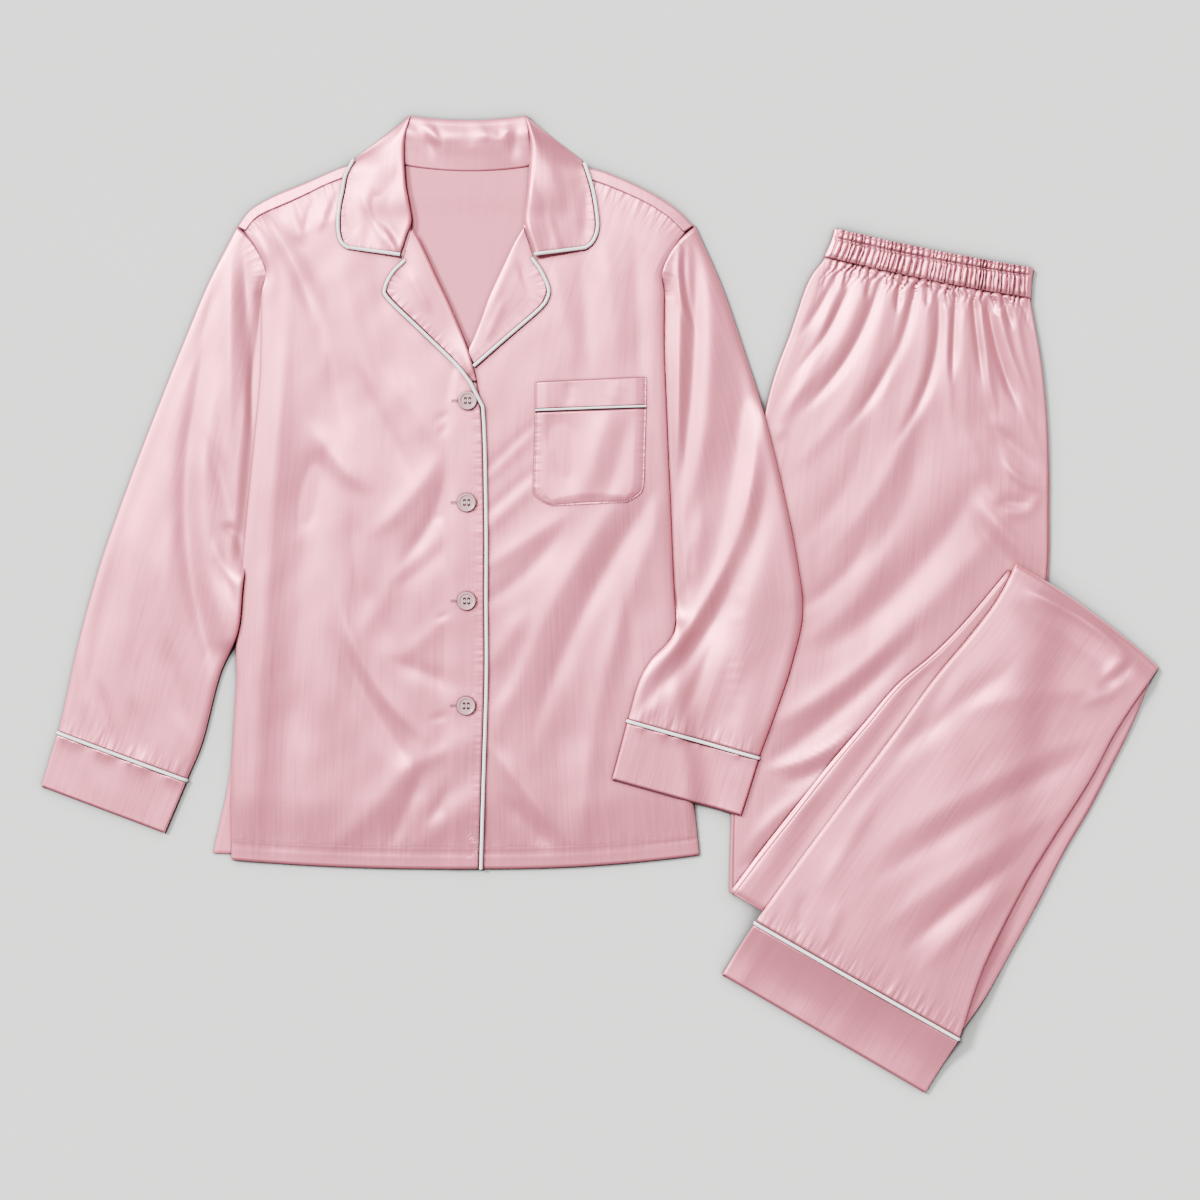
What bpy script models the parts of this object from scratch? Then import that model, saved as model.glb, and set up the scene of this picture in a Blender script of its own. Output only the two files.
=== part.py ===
"""A satin pyjama set laid out flat: a piped shirt, and trousers folded lengthwise and twice across.

Metres, +Z up, lying on Z = 0. +X runs across the shirt towards the trousers, +Y towards the collar.
The tables below are plan sizes in millimetres; each row of a table is one section of a piece.
"""

import math
from collections import namedtuple

import bmesh
import bpy
from mathutils import Vector
from mathutils.bvhtree import BVHTree

MM = 0.001

# Cloth, trim and clearances.
CLOTH_WALL = 1.2 * MM
SEAM_GAP = 0.3 * MM
LAID_GAP = 0.5 * MM
TURNED_GAP = 0.8 * MM
PIPING_RADIUS = 1.5 * MM
PIPING_REACH = PIPING_RADIUS + SEAM_GAP
PROBE_HEIGHT = 0.2

# Heights of the laid layers.
FRONT_CROWN = 3.4 * MM
FRONT_ROUNDING = 16 * MM
HEM_SHARE = 0.25
HEM_RISE = 70 * MM
SHOULDER_DROP = 0.45
SHOULDER_RISE = 40 * MM
FOLD_FADE = 30 * MM
TROUGH_SHARE = 0.5
BACK_LIFT = 0.4 * MM
BACK_FLAT_RADIUS = 60 * MM
BACK_LIFT_REACH = 380 * MM
NECK_RAISE = 1.6 * MM
NECK_HALF_WIDTH = 78 * MM
NECK_FADE = 40 * MM
FALL_EDGE_Y = 385 * MM
FALL_FADE = 25 * MM
SLEEVE_HEIGHT = 5.2 * MM
SLEEVE_CROWN = 1.0 * MM
CUFF_HEIGHT = 5.0 * MM
RUN_HEIGHT = 5.0 * MM
RUN_CROWN = 1.6 * MM
LEG_CUFF_HEIGHT = 5.6 * MM
WAISTBAND_HEIGHT = 8.6 * MM
WAISTBAND_RIBS = 44
RIB_DEPTH = 1.3 * MM
RIB_SEAM_SHARE = 0.35
CHANNEL_SPAN = 1.9
GATHERS = 25
GATHER_DEPTH = 2.6 * MM
GATHER_REACH = 0.42
GATHER_EVENNESS = 0.75
GATHER_WANDER = 41.0
END_SHARE = 0.45
END_ROUNDING = 0.03
ROLL_HEIGHT = 4.6 * MM
ROLL_ROUNDING = 7 * MM
ROLL_FADE = 55 * MM
ROLL_LOSS = 0.85
ROLL_END = 0.16
ROLL_CENTRE = 2.6 * MM
ROLL_TURNS = (60, 0, -60)
LAPEL_ROLL = 1.4 * MM
FOLD_END_SHARE = 0.4
LEAF_START = 0.03
LEAF_ROWS = 13
LEAF_TRIM_TOP = 0.9
LAPEL_ROWS = 11
LAPEL_TRIM_START = 0.95
FRONT_ROWS = 20
FRONT_COLUMNS = 9
FRONT_EDGE_STEPS = (0.0, 0.012, 0.035, 0.075)
FRONT_EDGE_TOP = 0.5
BACK_COLUMNS = 20
COLLAR_COLUMNS = 10
TUBE_COLUMNS = 8
TUBE_END_PROBE = 0.97
RING_RISE = 2.2 * PIPING_RADIUS
RING_TOP_INSET = 0.2 * MM
PROBE_STEPS = 6
MERGE = 0.01 * MM
BACK_ALONG = (0.0, 0.12, 0.28, 0.44, 0.6, 0.72, 0.8, 0.85, 0.9, 0.95, 1.0)
TURNED_ACROSS = (0.0, 0.03, 0.09, 0.2, 0.36, 0.55, 0.78, 1.0)
TRIM_CLEAR = 0.6 * MM
SAG_PER_CELL = 0.35 * MM
LEG_CUFF_SAG = 0.45 * MM

# Buttons.
BUTTON_RADIUS = 9.0 * MM
BUTTON_HEIGHT = 2.6 * MM
BUTTON_DISH = 0.9 * MM
BUTTON_HOLE_RADIUS = 1.0 * MM
BUTTON_HOLE_SPACING = 2.4 * MM
BUTTON_DISH_SLOPE = 1.0 * MM
BUTTON_SIDES = 14
BUTTON_HOLE_SIDES = 6

PINK_CLOTH = (0.72, 0.46, 0.50, 1.0)
WHITE_PIPING = (0.90, 0.88, 0.86, 1.0)
BUTTON_SHELL = (0.60, 0.42, 0.42, 1.0)

# Left and right edge of a piece at one section, and how far the section bows to its left-hand side.
Section = namedtuple("Section", "left_x left_y right_x right_y bow", defaults=(0.0,))
# A soft ridge (or, with a negative height, a trough) from one place to another.
Fold = namedtuple("Fold", "x0 y0 x1 y1 width height")
Place = namedtuple("Place", "x y")
# A point of a tube's edge: how far in from the edge, and how far up the tube's height.
EdgeStep = namedtuple("EdgeStep", "inset level")
# One turn of the back over a shoulder: how far it runs towards the hem, and how far it rises.
WrapStep = namedtuple("WrapStep", "inward rise")
# A row of the collar's stand: how far along its plan, and its height.
StandRow = namedtuple("StandRow", "along height")
# A point of a button's outline: how far in from its rim, and its height.
RimStep = namedtuple("RimStep", "inset height")

BACK = (
    Section(-387, -248, 97, -247, -5),
    Section(-370, -166, 89, -166, -1),
    Section(-364, -75, 78, -75),
    Section(-358, 5, 70, 5),
    Section(-351, 85, 66.5, 85),
    Section(-339, 205, 61.5, 205),
    Section(-336, 315, 60.5, 315),
    Section(-346, 356, 75, 358),
)
SHOULDER_LINE = (
    Place(-361, 377), Place(-348, 394), Place(-326, 407), Place(-297, 419), Place(-252, 438),
    Place(-195, 442), Place(-133, 435), Place(-71, 440),
    Place(-9, 435), Place(18, 426), Place(50, 411), Place(76, 394), Place(92, 378),
)
NECK_CENTRE = -133 * MM
# The back wraps over each shoulder between these distances from the neck's centre.
WRAP_START = 58 * MM
WRAP_END = 206 * MM
WRAP_ABOVE = 370 * MM
SHOULDER_SLOPE = 0.45
SHOULDER_WRAP = (WrapStep(-1.4, 1.5), WrapStep(3.2, 1.7), WrapStep(4.6, 0.0))
STAND_ROWS = (StandRow(0.0, 4.2), StandRow(0.3, 5.6), StandRow(0.65, 6.0), StandRow(0.92, 5.0))
FALL_ROWS = (0.15, 0.5, 1.0)
BUTTON_RIM_STEPS = (RimStep(1.6, 2.6), RimStep(0.5, 2.4), RimStep(0.0, 1.3), RimStep(0.8, 0.0))
FRONT_RIGHT = (
    Section(-368.5, -254.5, -119, -263.5, -3),
    Section(-368.5, -166, -116, -169, -1),
    Section(-363, -75, -113.3, -70),
    Section(-357, 5, -113.6, 4),
    Section(-350, 85, -113.6, 85),
    Section(-338, 205, -117, 198),
    Section(-335.5, 255, -130, 249),
    Section(-335, 305, -152, 303),
    Section(-334, 331, -171, 343),
    Section(-346, 357, -188, 381, 4),
    Section(-357, 375, -195, 440, 14),
)
FRONT_LEFT = (
    Section(-150, -263, 99, -249.5, -5),
    Section(-150, -169, 90, -166, -2),
    Section(-150, -75, 79, -75),
    Section(-150, 5, 71, 5),
    Section(-150, 85, 67.4, 85),
    Section(-150, 200, 62.5, 205),
    Section(-131, 254, 60.5, 262),
    Section(-111, 305, 60.7, 305),
    Section(-93, 345, 61.6, 330),
    Section(-75.6, 381, 77, 360, 4),
    Section(-71, 440, 86.5, 374, 14),
)
SLEEVE_RIGHT = (
    Section(-363, 377, -336, 305, 11),
    Section(-392, 320, -337, 255, 7),
    Section(-419, 255, -340, 200, 4),
    Section(-439, 205, -344, 165),
    Section(-468, 130, -351.5, 90),
    Section(-495, 55, -358, 20),
    Section(-510, 5, -361, -27),
    Section(-523, -45, -380, -70),
    Section(-534, -95, -397, -135),
    Section(-541.1, -125.8, -412.6, -173.6),
)
CUFF_RIGHT = (
    Section(-542.3, -129.2, -413.8, -177.0),
    Section(-550.5, -156, -424.6, -203),
    Section(-558.2, -182, -435.4, -228.4),
)
SLEEVE_LEFT = (
    Section(63.5, 305, 95.5, 377, 11),
    Section(63, 255, 122, 317, 7),
    Section(65, 200, 146, 247, 4),
    Section(67, 160, 161, 200),
    Section(70, 90, 181, 120),
    Section(73, 30, 195.5, 47),
    Section(75, -24, 201.5, -7),
    Section(50, -56, 192, -54),
    Section(38, -79, 180, -92),
    Section(27.9, -114, 158.4, -151),
)
CUFF_LEFT = (
    Section(27.0, -117.4, 157.4, -154.5),
    Section(19.5, -146, 148.9, -182.5),
    Section(11.7, -174.5, 139.9, -210.5),
)
POCKET = (
    Section(-48, 99, 26, 102.5),
    Section(-60, 105, 37, 109),
    Section(-66.5, 116, 43, 119),
    Section(-65.5, 155, 44.5, 158),
    Section(-64.7, 192.4, 45.7, 196.4),
)
POCKET_BAND = (
    Section(-64.7, 196.0, 45.8, 200.0),
    Section(-64.7, 209, 46.0, 213.6),
    Section(-64.7, 222, 46.2, 227.2),
)
LAPEL_RIGHT = (
    Section(-123, 223, -129.5, 222),
    Section(-132, 255, -144, 240),
    Section(-148, 294, -179, 274),
    Section(-162, 324, -211, 305),
    Section(-172, 346, -214.5, 316),
    Section(-181, 365, -207, 331),
    Section(-187.0, 374.8, -197.9, 340.2),
)
LAPEL_LEFT = (
    Section(-133, 251, -126, 238),
    Section(-122, 275, -94, 266),
    Section(-112, 304, -61.5, 294),
    Section(-105, 320, -53, 305),
    Section(-96, 339, -51.5, 316),
    Section(-86, 360, -59, 333),
    Section(-76.3, 376.5, -65.3, 342),
)
LEAF_RIGHT = (
    Section(-200, 347.5, -250, 355),
    Section(-197, 355, -258, 362),
    Section(-193, 367, -261, 376),
    Section(-188.3, 383, -260, 396),
    Section(-191, 402, -257, 412),
    Section(-194.5, 425, -254, 428),
    Section(-195, 461, -247, 442),
    Section(-189.4, 488, -246, 446),
)
LEAF_LEFT = (
    Section(-65, 347, -17, 354.5),
    Section(-68, 355, -7.5, 362),
    Section(-72, 367, -2.5, 376),
    Section(-75.6, 383, -4, 396),
    Section(-73.5, 402, -7.5, 415),
    Section(-71, 425, -11, 427),
    Section(-70, 461, -15, 439),
    Section(-74.5, 488, -17, 444),
)
COLLAR_STAND = (
    Section(-192, 442, -74, 441, -6),
    Section(-192, 457, -73, 457, -5),
    Section(-190, 472, -75, 472, -5),
    Section(-187, 486, -77, 486, -4.5),
)
COLLAR_FALL = (
    Section(-187, 486, -77, 486, -4.5),
    Section(-190, 468, -75, 468, -5),
    Section(-192, 446, -73, 446, -6),
    Section(-194, 424, -70, 424, -7),
)
WAISTBAND = (
    Section(223.7, 347.6, 430, 306, -3),
    Section(231, 364.4, 431, 326, -2.5),
    Section(234, 375.6, 433, 336, -2),
)
TROUSERS_UPPER = (
    Section(223.6, 345.4, 429.6, 303.8, -3),
    Section(207.5, 322, 434, 280),
    Section(190, 272, 441, 240),
    Section(170, 215, 447, 180),
    Section(152, 125, 449, 105),
    Section(142, 25, 446, 15),
    Section(136, -75, 420, -115),
    Section(132, -175, 393.5, -255),
    Section(129.5, -255, 375, -360),
    Section(129, -287, 362, -423),
)
TROUSERS_MIDDLE = (
    Section(129.5, -286, 362, -422),
    Section(161, -244, 385, -390),
    Section(192, -204, 410, -348),
    Section(228.6, -158, 437, -299),
    Section(265, -115, 464, -247),
    Section(296, -79, 490, -203),
    Section(332.7, -48, 512, -160),
    Section(366, -14, 531, -121),
    Section(407, 35, 550, -75),
)
TROUSERS_TOP = (
    Section(414, 41, 558.2, -62, 6),
    Section(394, 4, 535, -94),
    Section(366, -33, 512, -130),
    Section(333, -72.5, 488.5, -175),
    Section(290, -131, 452, -233),
    Section(253, -180, 422, -282),
    Section(201, -250, 383, -357),
    Section(154.6, -314.8, 357.4, -430.5),
)
LEG_CUFF = (
    Section(152.7, -318, 355.5, -433.6),
    Section(137, -344, 340, -461),
    Section(121.4, -369.9, 324.2, -487.9),
)
BUTTONS = (Place(-132, 203.5), Place(-133, 102), Place(-133, 4), Place(-133.5, -100.5))

FRONT_FOLDS = (
    Fold(-310, 225, -260, 130, 16, 1.8),
    Fold(-250, -225, -185, -150, 17, 2.2),
    Fold(-205, -225, -140, -185, 15, -1.6),
    Fold(-60, -40, 25, 90, 18, -1.8),
    Fold(-20, -60, 50, 60, 18, 1.6),
    Fold(5, -210, 12, -80, 15, 1.4),
)
SLEEVE_FOLDS = (
    Fold(-395, 250, -370, 60, 14, 1.2),
    Fold(150, 130, 110, 20, 12, 1.6),
    Fold(115, 20, 80, -15, 12, 1.2),
)
TROUSER_FOLDS = (
    Fold(330, 120, 200, -110, 20, 1.8),
    Fold(400, 90, 230, -60, 20, -1.4),
    Fold(390, 160, 445, 95, 14, 1.6),
    Fold(180, -140, 235, -120, 14, 1.5),
)
TOP_RUN_FOLDS = (
    Fold(440, -200, 330, -290, 18, 1.6),
    Fold(400, -270, 300, -350, 16, 1.4),
    Fold(520, -40, 545, -70, 12, 1.6),
)

SOFT_EDGE = (
    EdgeStep(3.2, 0.0), EdgeStep(0.8, 0.18), EdgeStep(0.0, 0.5), EdgeStep(0.8, 0.82), EdgeStep(3.2, 1.0),
)
LAYERED_EDGE = (
    EdgeStep(4.0, 0.0), EdgeStep(0.8, 0.1), EdgeStep(0.3, 0.36), EdgeStep(2.6, 0.5),
    EdgeStep(0.0, 0.64), EdgeStep(0.8, 0.9), EdgeStep(4.0, 1.0),
)


def smoothstep(value):
    """Ease from 0 to 1 as value goes from 0 to 1."""
    value = min(max(value, 0.0), 1.0)
    return value * value * (3.0 - 2.0 * value)


def rounded(distance, radius):
    """Height, from 0 to 1, of a quarter-round edge at a distance in from it."""
    part = 1.0 - min(max(distance / radius, 0.0), 1.0)
    return math.sqrt(max(1.0 - part * part, 0.0))


def spline(values, t):
    """Catmull-Rom curve through equally spaced values, t from 0 to 1."""
    last = len(values) - 1
    place = min(max(t, 0.0), 1.0) * last
    k = min(int(place), last - 1)
    f = place - k
    p1, p2 = values[k], values[k + 1]
    p0 = values[k - 1] if k else 2.0 * p1 - p2
    p3 = values[k + 2] if k + 2 <= last else 2.0 * p2 - p1
    return p1 + 0.5 * f * (p2 - p0 + f * (2 * p0 - 5 * p1 + 4 * p2 - p3 + f * (3 * (p1 - p2) + p3 - p0)))


def spread(count):
    """Evenly spaced values from 0 to 1, with count steps."""
    return [k / count for k in range(count + 1)]


class Plan:
    """The outline of a piece seen from above, smooth through its sections."""

    def __init__(self, sections, left_inset=0.0, right_inset=0.0):
        self.columns = list(zip(*sections))
        self.left_inset = left_inset
        self.right_inset = right_inset

    def ends(self, v):
        """The left and right ends of the section at v, and its bow."""
        left_x, left_y, right_x, right_y, bow = (spline(column, v) * MM for column in self.columns)
        left = Vector((left_x, left_y))
        right = Vector((right_x, right_y))
        along = (right - left).normalized()
        return left + along * self.left_inset, right - along * self.right_inset, bow

    def width(self, v):
        """Length of the section at v."""
        left, right, _bow = self.ends(v)
        return (right - left).length

    def at(self, u, v):
        """The place at u across and v along."""
        left, right, bow = self.ends(v)
        chord = right - left
        side = Vector((-chord.y, chord.x)).normalized()
        return left + chord * u + side * (bow * 4.0 * u * (1.0 - u))


class BackPlan(Plan):
    """The back's outline: its sections, then the shoulder and neck line."""

    SHOULDER_START = 0.8

    def at(self, u, v):
        """The place at u across and v along."""
        low = super().at(u, min(v / self.SHOULDER_START, 1.0))
        if v <= self.SHOULDER_START:
            return low
        top_x = spline([place.x for place in SHOULDER_LINE], u) * MM
        top_y = spline([place.y for place in SHOULDER_LINE], u) * MM
        return low.lerp(Vector((top_x, top_y)), (v - self.SHOULDER_START) / (1.0 - self.SHOULDER_START))


def relief(x, y, folds):
    """Height of the folds at one place."""
    total = 0.0
    for fold in folds:
        start = Vector((fold.x0, fold.y0)) * MM
        run = Vector((fold.x1, fold.y1)) * MM - start
        offset = Vector((x, y)) - start
        part = offset.dot(run) / run.length_squared
        nearest = min(max(part, 0.0), 1.0)
        distance = (offset - run * nearest).length / (fold.width * MM)
        if distance < 1.0:
            fade = FOLD_END_SHARE + (1.0 - FOLD_END_SHARE) * math.sin(math.pi * nearest)
            total += fold.height * MM * fade * (1.0 - smoothstep(distance))
    return total


class Layers:
    """What has been laid so far, to rest the next piece on."""

    def __init__(self):
        self.trees = []

    def add(self, obj):
        """Take an object's final shape as something to lie on."""
        evaluated = obj.evaluated_get(bpy.context.evaluated_depsgraph_get())
        mesh = evaluated.to_mesh()
        points = [obj.matrix_world @ vertex.co for vertex in mesh.vertices]
        self.trees.append(BVHTree.FromPolygons(points, [list(face.vertices) for face in mesh.polygons]))
        evaluated.to_mesh_clear()

    def top(self, place):
        """Height of the highest thing at a place, 0 on the bare surface."""
        start = Vector((place[0], place[1], PROBE_HEIGHT))
        hits = (tree.ray_cast(start, Vector((0, 0, -1)))[0] for tree in self.trees)
        return max((hit.z for hit in hits if hit is not None), default=0.0)


LAYERS = Layers()


def lay(plan, across, along, gap=LAID_GAP, rounds=12, sag=SAG_PER_CELL, start=None):
    """Underside heights, row by row, of cloth laid on the layers so far: it spans hollows and sags.

    A start gives the heights that the first row hangs on from.
    """

    def support(i, j):
        u_low, u_high = across[max(i - 1, 0)], across[min(i + 1, len(across) - 1)]
        v_low, v_high = along[max(j - 1, 0)], along[min(j + 1, len(along) - 1)]
        probes = [(u_low + (u_high - u_low) * a, v_low + (v_high - v_low) * b)
                  for a in spread(PROBE_STEPS) for b in spread(PROBE_STEPS)]
        height = max(LAYERS.top(plan.at(u, v)) for u, v in probes)
        return height + gap if height > 0.0 else 0.0

    floor = [[support(i, j) for i in range(len(across))] for j in range(len(along))]
    heights = [row[:] for row in floor]
    if start:
        heights[0] = [max(low, high) for low, high in zip(floor[0], start)]
    for _round in range(rounds):
        for j, row in enumerate(heights):
            if start and j == 0:
                continue
            for i in range(len(row)):
                near = [heights[b][a] for a, b in ((i - 1, j), (i + 1, j), (i, j - 1), (i, j + 1))
                        if 0 <= a < len(row) and 0 <= b < len(heights)]
                row[i] = max(floor[j][i], sum(near) / len(near) - sag)
    return heights


def between(values, stations, u):
    """Value at u, from values at ascending stations."""
    for k in range(len(stations) - 1):
        if u <= stations[k + 1]:
            part = (u - stations[k]) / (stations[k + 1] - stations[k])
            return values[k] + (values[k + 1] - values[k]) * min(max(part, 0.0), 1.0)
    return values[-1]


def material(name, colour, roughness):
    """A Principled material of one colour."""
    found = bpy.data.materials.new(name)
    found.use_nodes = True
    shader = found.node_tree.nodes["Principled BSDF"]
    shader.inputs["Base Color"].default_value = colour
    shader.inputs["Roughness"].default_value = roughness
    found.diffuse_color = colour
    return found


def add_object(name, mesh, finish, collection):
    """Link a mesh as a named part of the set."""
    obj = bpy.data.objects.new(name, mesh)
    mesh.materials.append(finish)
    mesh.shade_smooth()
    collection.objects.link(obj)
    return obj


def shaped_grid(columns, rows, place):
    """A grid of columns by rows cells, each crossing put where place(i, j) says."""
    shape = bmesh.new()
    bmesh.ops.create_grid(shape, x_segments=columns, y_segments=rows, size=0.5)
    for vertex in shape.verts:
        i = round((vertex.co.x + 0.5) * columns)
        j = round((vertex.co.y + 0.5) * rows)
        vertex.co = place(i, j)
    return shape


def finish_mesh(name, shape):
    """Turn a bmesh into a mesh."""
    mesh = bpy.data.meshes.new(name)
    shape.to_mesh(mesh)
    shape.free()
    return mesh


def sheet(name, place, columns, rows, look, wall=CLOTH_WALL, offset=1.0, extra=None):
    """A panel: a grid on its underside's points, thickened by the wall; look is (material, collection)."""
    shape = shaped_grid(columns, rows, place)
    if extra:
        extra(shape)
    shape.normal_update()
    if sum(face.normal.z * face.calc_area() for face in shape.faces) < 0.0:
        bmesh.ops.reverse_faces(shape, faces=shape.faces[:])
    obj = add_object(name, finish_mesh(name, shape), *look)
    thick = obj.modifiers.new("cloth", "SOLIDIFY")
    thick.thickness = wall
    thick.offset = offset
    return obj


def ring(edge, top_count, bottom_count):
    """Places round a flattened tube: (end, inset, level, share of the span)."""
    inner = edge[-1].inset
    steps = [(0, step.inset * MM, step.level, None) for step in edge]
    steps += [(None, inner * MM, 1.0, k / top_count) for k in range(1, top_count)]
    steps += [(1, step.inset * MM, step.level, None) for step in reversed(edge)]
    steps += [(None, inner * MM, 0.0, 1.0 - k / bottom_count) for k in range(1, bottom_count)]
    return steps


def ring_share(step, width, skin=0.0):
    """How far across the tube a ring place is, 0 to 1."""
    end, inset, _level, share = step
    inset = (inset + skin) / width
    if end == 0:
        return inset
    if end == 1:
        return 1.0 - inset
    return inset + share * (1.0 - 2.0 * inset)


class Tube:
    """A flattened tube of cloth along a plan, lying on the layers so far."""

    def __init__(self, sections, rows, height, edge=SOFT_EDGE, top_count=8, bottom_count=3, folds=(),
                 crown=0.0, end_scale=None, ripple=None, start=None, rounds=12, sag=SAG_PER_CELL):
        self.plan = Plan(sections)
        self.rows = rows
        self.height = height
        self.steps = ring(edge, top_count, bottom_count)
        self.folds = folds
        self.crown = crown
        self.end_scale = end_scale or (lambda v: 1.0)
        self.ripple = ripple or (lambda u, v: 0.0)
        self.across = spread(TUBE_COLUMNS)
        self.along = spread(rows)
        self.lift = lay(self.plan, self.across, self.along, rounds=rounds, sag=sag, start=start)

    def point(self, k, j, skin=0.0):
        """Ring place k of row j, on the outside, or a skin's thickness inside it."""
        step = self.steps[k % len(self.steps)]
        level = step[2]
        v = self.along[j]
        u = ring_share(step, self.plan.width(v), skin)
        place = self.plan.at(u, v)
        lift = between(self.lift[j], self.across, u)
        height = self.height * self.end_scale(v)
        span = 4.0 * u * (1.0 - u)
        dome = self.crown * span * self.end_scale(v)
        rise = relief(place.x, place.y, self.folds) * min(span * 2.0, 1.0) + self.ripple(u, v)
        if skin:
            z = skin + (height - 2.0 * skin) * level
        else:
            z = height * level
        if level == 1.0:
            z += dome + (0.0 if skin else rise)
        return Vector((place.x, place.y, lift + z))

    def hollow(self, name, look):
        """The tube as a wall, open at both ends."""
        rows = self.rows
        turns = 2 * rows + 2

        def place(k, j):
            j = j % turns
            if j <= rows:
                return self.point(k, j)
            return self.point(k, turns - 1 - j, CLOTH_WALL)

        shape = shaped_grid(len(self.steps), turns, place)
        bmesh.ops.remove_doubles(shape, verts=shape.verts[:], dist=MERGE)
        bmesh.ops.recalc_face_normals(shape, faces=shape.faces[:])
        return add_object(name, finish_mesh(name, shape), *look)

    def filled(self, name, look):
        """The tube as one body that stands for its hidden layers too, with flat ends."""
        shape = shaped_grid(len(self.steps), self.rows, self.point)
        bmesh.ops.remove_doubles(shape, verts=shape.verts[:], dist=MERGE)
        ends = [edge for edge in shape.edges if edge.is_boundary]
        bmesh.ops.holes_fill(shape, edges=ends, sides=0)
        bmesh.ops.recalc_face_normals(shape, faces=shape.faces[:])
        return add_object(name, finish_mesh(name, shape), *look)


def piping(name, points, look, cyclic=False):
    """A round piping cord along points, with closed ends."""
    curve = bpy.data.curves.new(name, "CURVE")
    curve.dimensions = "3D"
    curve.bevel_depth = PIPING_RADIUS
    curve.bevel_resolution = 1
    curve.use_fill_caps = True
    run = curve.splines.new("POLY")
    run.points.add(len(points) - 1)
    for point, place in zip(run.points, points):
        point.co = (place.x, place.y, place.z, 1.0)
    run.use_cyclic_u = cyclic
    curve.materials.append(look[0])
    obj = bpy.data.objects.new(name, curve)
    look[1].objects.link(obj)
    return obj


def back_height(x, y):
    """Height of the back's underside: flat at its middle, a little up at its edges and over the collar's fall."""
    at_neck = 1.0 - smoothstep((abs(x - NECK_CENTRE) - NECK_HALF_WIDTH) / NECK_FADE)
    outward = math.hypot(x - NECK_CENTRE, y) - BACK_FLAT_RADIUS
    edge_lift = BACK_LIFT * smoothstep(outward / BACK_LIFT_REACH)
    return edge_lift + NECK_RAISE * at_neck * smoothstep((y - FALL_EDGE_Y) / FALL_FADE)


def build_back(look):
    """The back panel, flat on the surface, wrapping forward over each shoulder."""
    plan = BackPlan(BACK)
    across = spread(BACK_COLUMNS)

    def place(i, j):
        spot = plan.at(across[i], BACK_ALONG[j])
        return Vector((spot.x, spot.y, back_height(spot.x, spot.y)))

    def wrap(shape):
        """Turn the shoulder edges up and over by the width of the forward seam's set-in."""
        top = [edge for edge in shape.edges if edge.is_boundary
               and all(WRAP_START < abs(vertex.co.x - NECK_CENTRE) < WRAP_END for vertex in edge.verts)
               and all(vertex.co.y > WRAP_ABOVE for vertex in edge.verts)]
        for inward, rise in SHOULDER_WRAP:
            made = bmesh.ops.extrude_edge_only(shape, edges=top)["geom"]
            for vertex in (item for item in made if isinstance(item, bmesh.types.BMVert)):
                slope = math.copysign(SHOULDER_SLOPE, vertex.co.x - NECK_CENTRE)
                vertex.co += Vector((-slope * inward, -inward, rise)) * MM
            top = [item for item in made if isinstance(item, bmesh.types.BMEdge)]

    obj = sheet("shirt_back", place, BACK_COLUMNS, len(BACK_ALONG) - 1, look, extra=wrap)
    LAYERS.add(obj)


def front_height(side_distance, hem_distance, shoulder_distance):
    """How far a front stands above the back, from its distances to its edges."""
    side = rounded(side_distance, FRONT_ROUNDING)
    hem = HEM_SHARE + (1.0 - HEM_SHARE) * smoothstep(hem_distance / HEM_RISE)
    shoulder = 1.0 - SHOULDER_DROP * (1.0 - smoothstep(shoulder_distance / SHOULDER_RISE))
    return FRONT_CROWN * side * hem * shoulder


def edge_crowded(count, side):
    """Steps from 0 to 1 that crowd towards one side, where the cloth turns down."""
    near = list(FRONT_EDGE_STEPS)
    rest = [near[-1] + (1.0 - near[-1]) * part for part in spread(count)[1:]]
    steps = near + rest
    return steps if side == 0 else [1.0 - step for step in reversed(steps)]


def build_front(name, sections, side, look, right_inset=0.0):
    """One front; side 0 has its side seam at the left, 1 at the right."""
    plan = Plan(sections, right_inset=right_inset)
    across = edge_crowded(FRONT_COLUMNS, side)
    along = spread(FRONT_ROWS)
    laid = lay(plan, across, along, gap=SEAM_GAP, rounds=4)

    def place(i, j):
        u, v = across[i], along[j]
        spot = plan.at(u, v)
        width = plan.width(v)
        side_distance = u * width if side == 0 else (1.0 - u) * width
        hem_distance = (spot - plan.at(u, 0.0)).length
        shoulder_distance = (spot - plan.at(u, 1.0)).length
        stand = front_height(side_distance, hem_distance, shoulder_distance)
        folds = relief(spot.x, spot.y, FRONT_FOLDS) * smoothstep(side_distance / FOLD_FADE)
        on_back = CLOTH_WALL + SEAM_GAP + back_height(spot.x, spot.y) + stand
        return Vector((spot.x, spot.y, max(laid[j][i], on_back + max(folds, -TROUGH_SHARE * stand))))

    obj = sheet(name, place, len(across) - 1, len(along) - 1, look)
    LAYERS.add(obj)


def build_turned(name, plan, look, roll, along, fold_end=False):
    """A lapel or collar leaf: rolled along its left edge, flat towards its right edge."""
    across = TURNED_ACROSS
    laid = lay(plan, across, along, gap=TURNED_GAP, rounds=4)

    def place(i, j):
        u, v = across[i], along[j]
        spot = plan.at(u, v)
        distance = u * plan.width(v)
        lift = roll * rounded(distance, ROLL_ROUNDING) * (1.0 - ROLL_LOSS * smoothstep(distance / ROLL_FADE))
        if fold_end:
            lift *= rounded(1.0 - v, ROLL_END)
        return Vector((spot.x, spot.y, laid[j][i] + lift))

    return sheet(name, place, len(across) - 1, len(along) - 1, look)


def trim_point(place):
    """A point of piping that lies on the layers so far."""
    around = [(0.0, 0.0)] + [(math.cos(math.tau * k / 8), math.sin(math.tau * k / 8)) for k in range(8)]
    rests_on = max(LAYERS.top((place.x + PIPING_RADIUS * a, place.y + PIPING_RADIUS * b)) for a, b in around)
    return Vector((place.x, place.y, rests_on + PIPING_RADIUS + SEAM_GAP))


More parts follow.
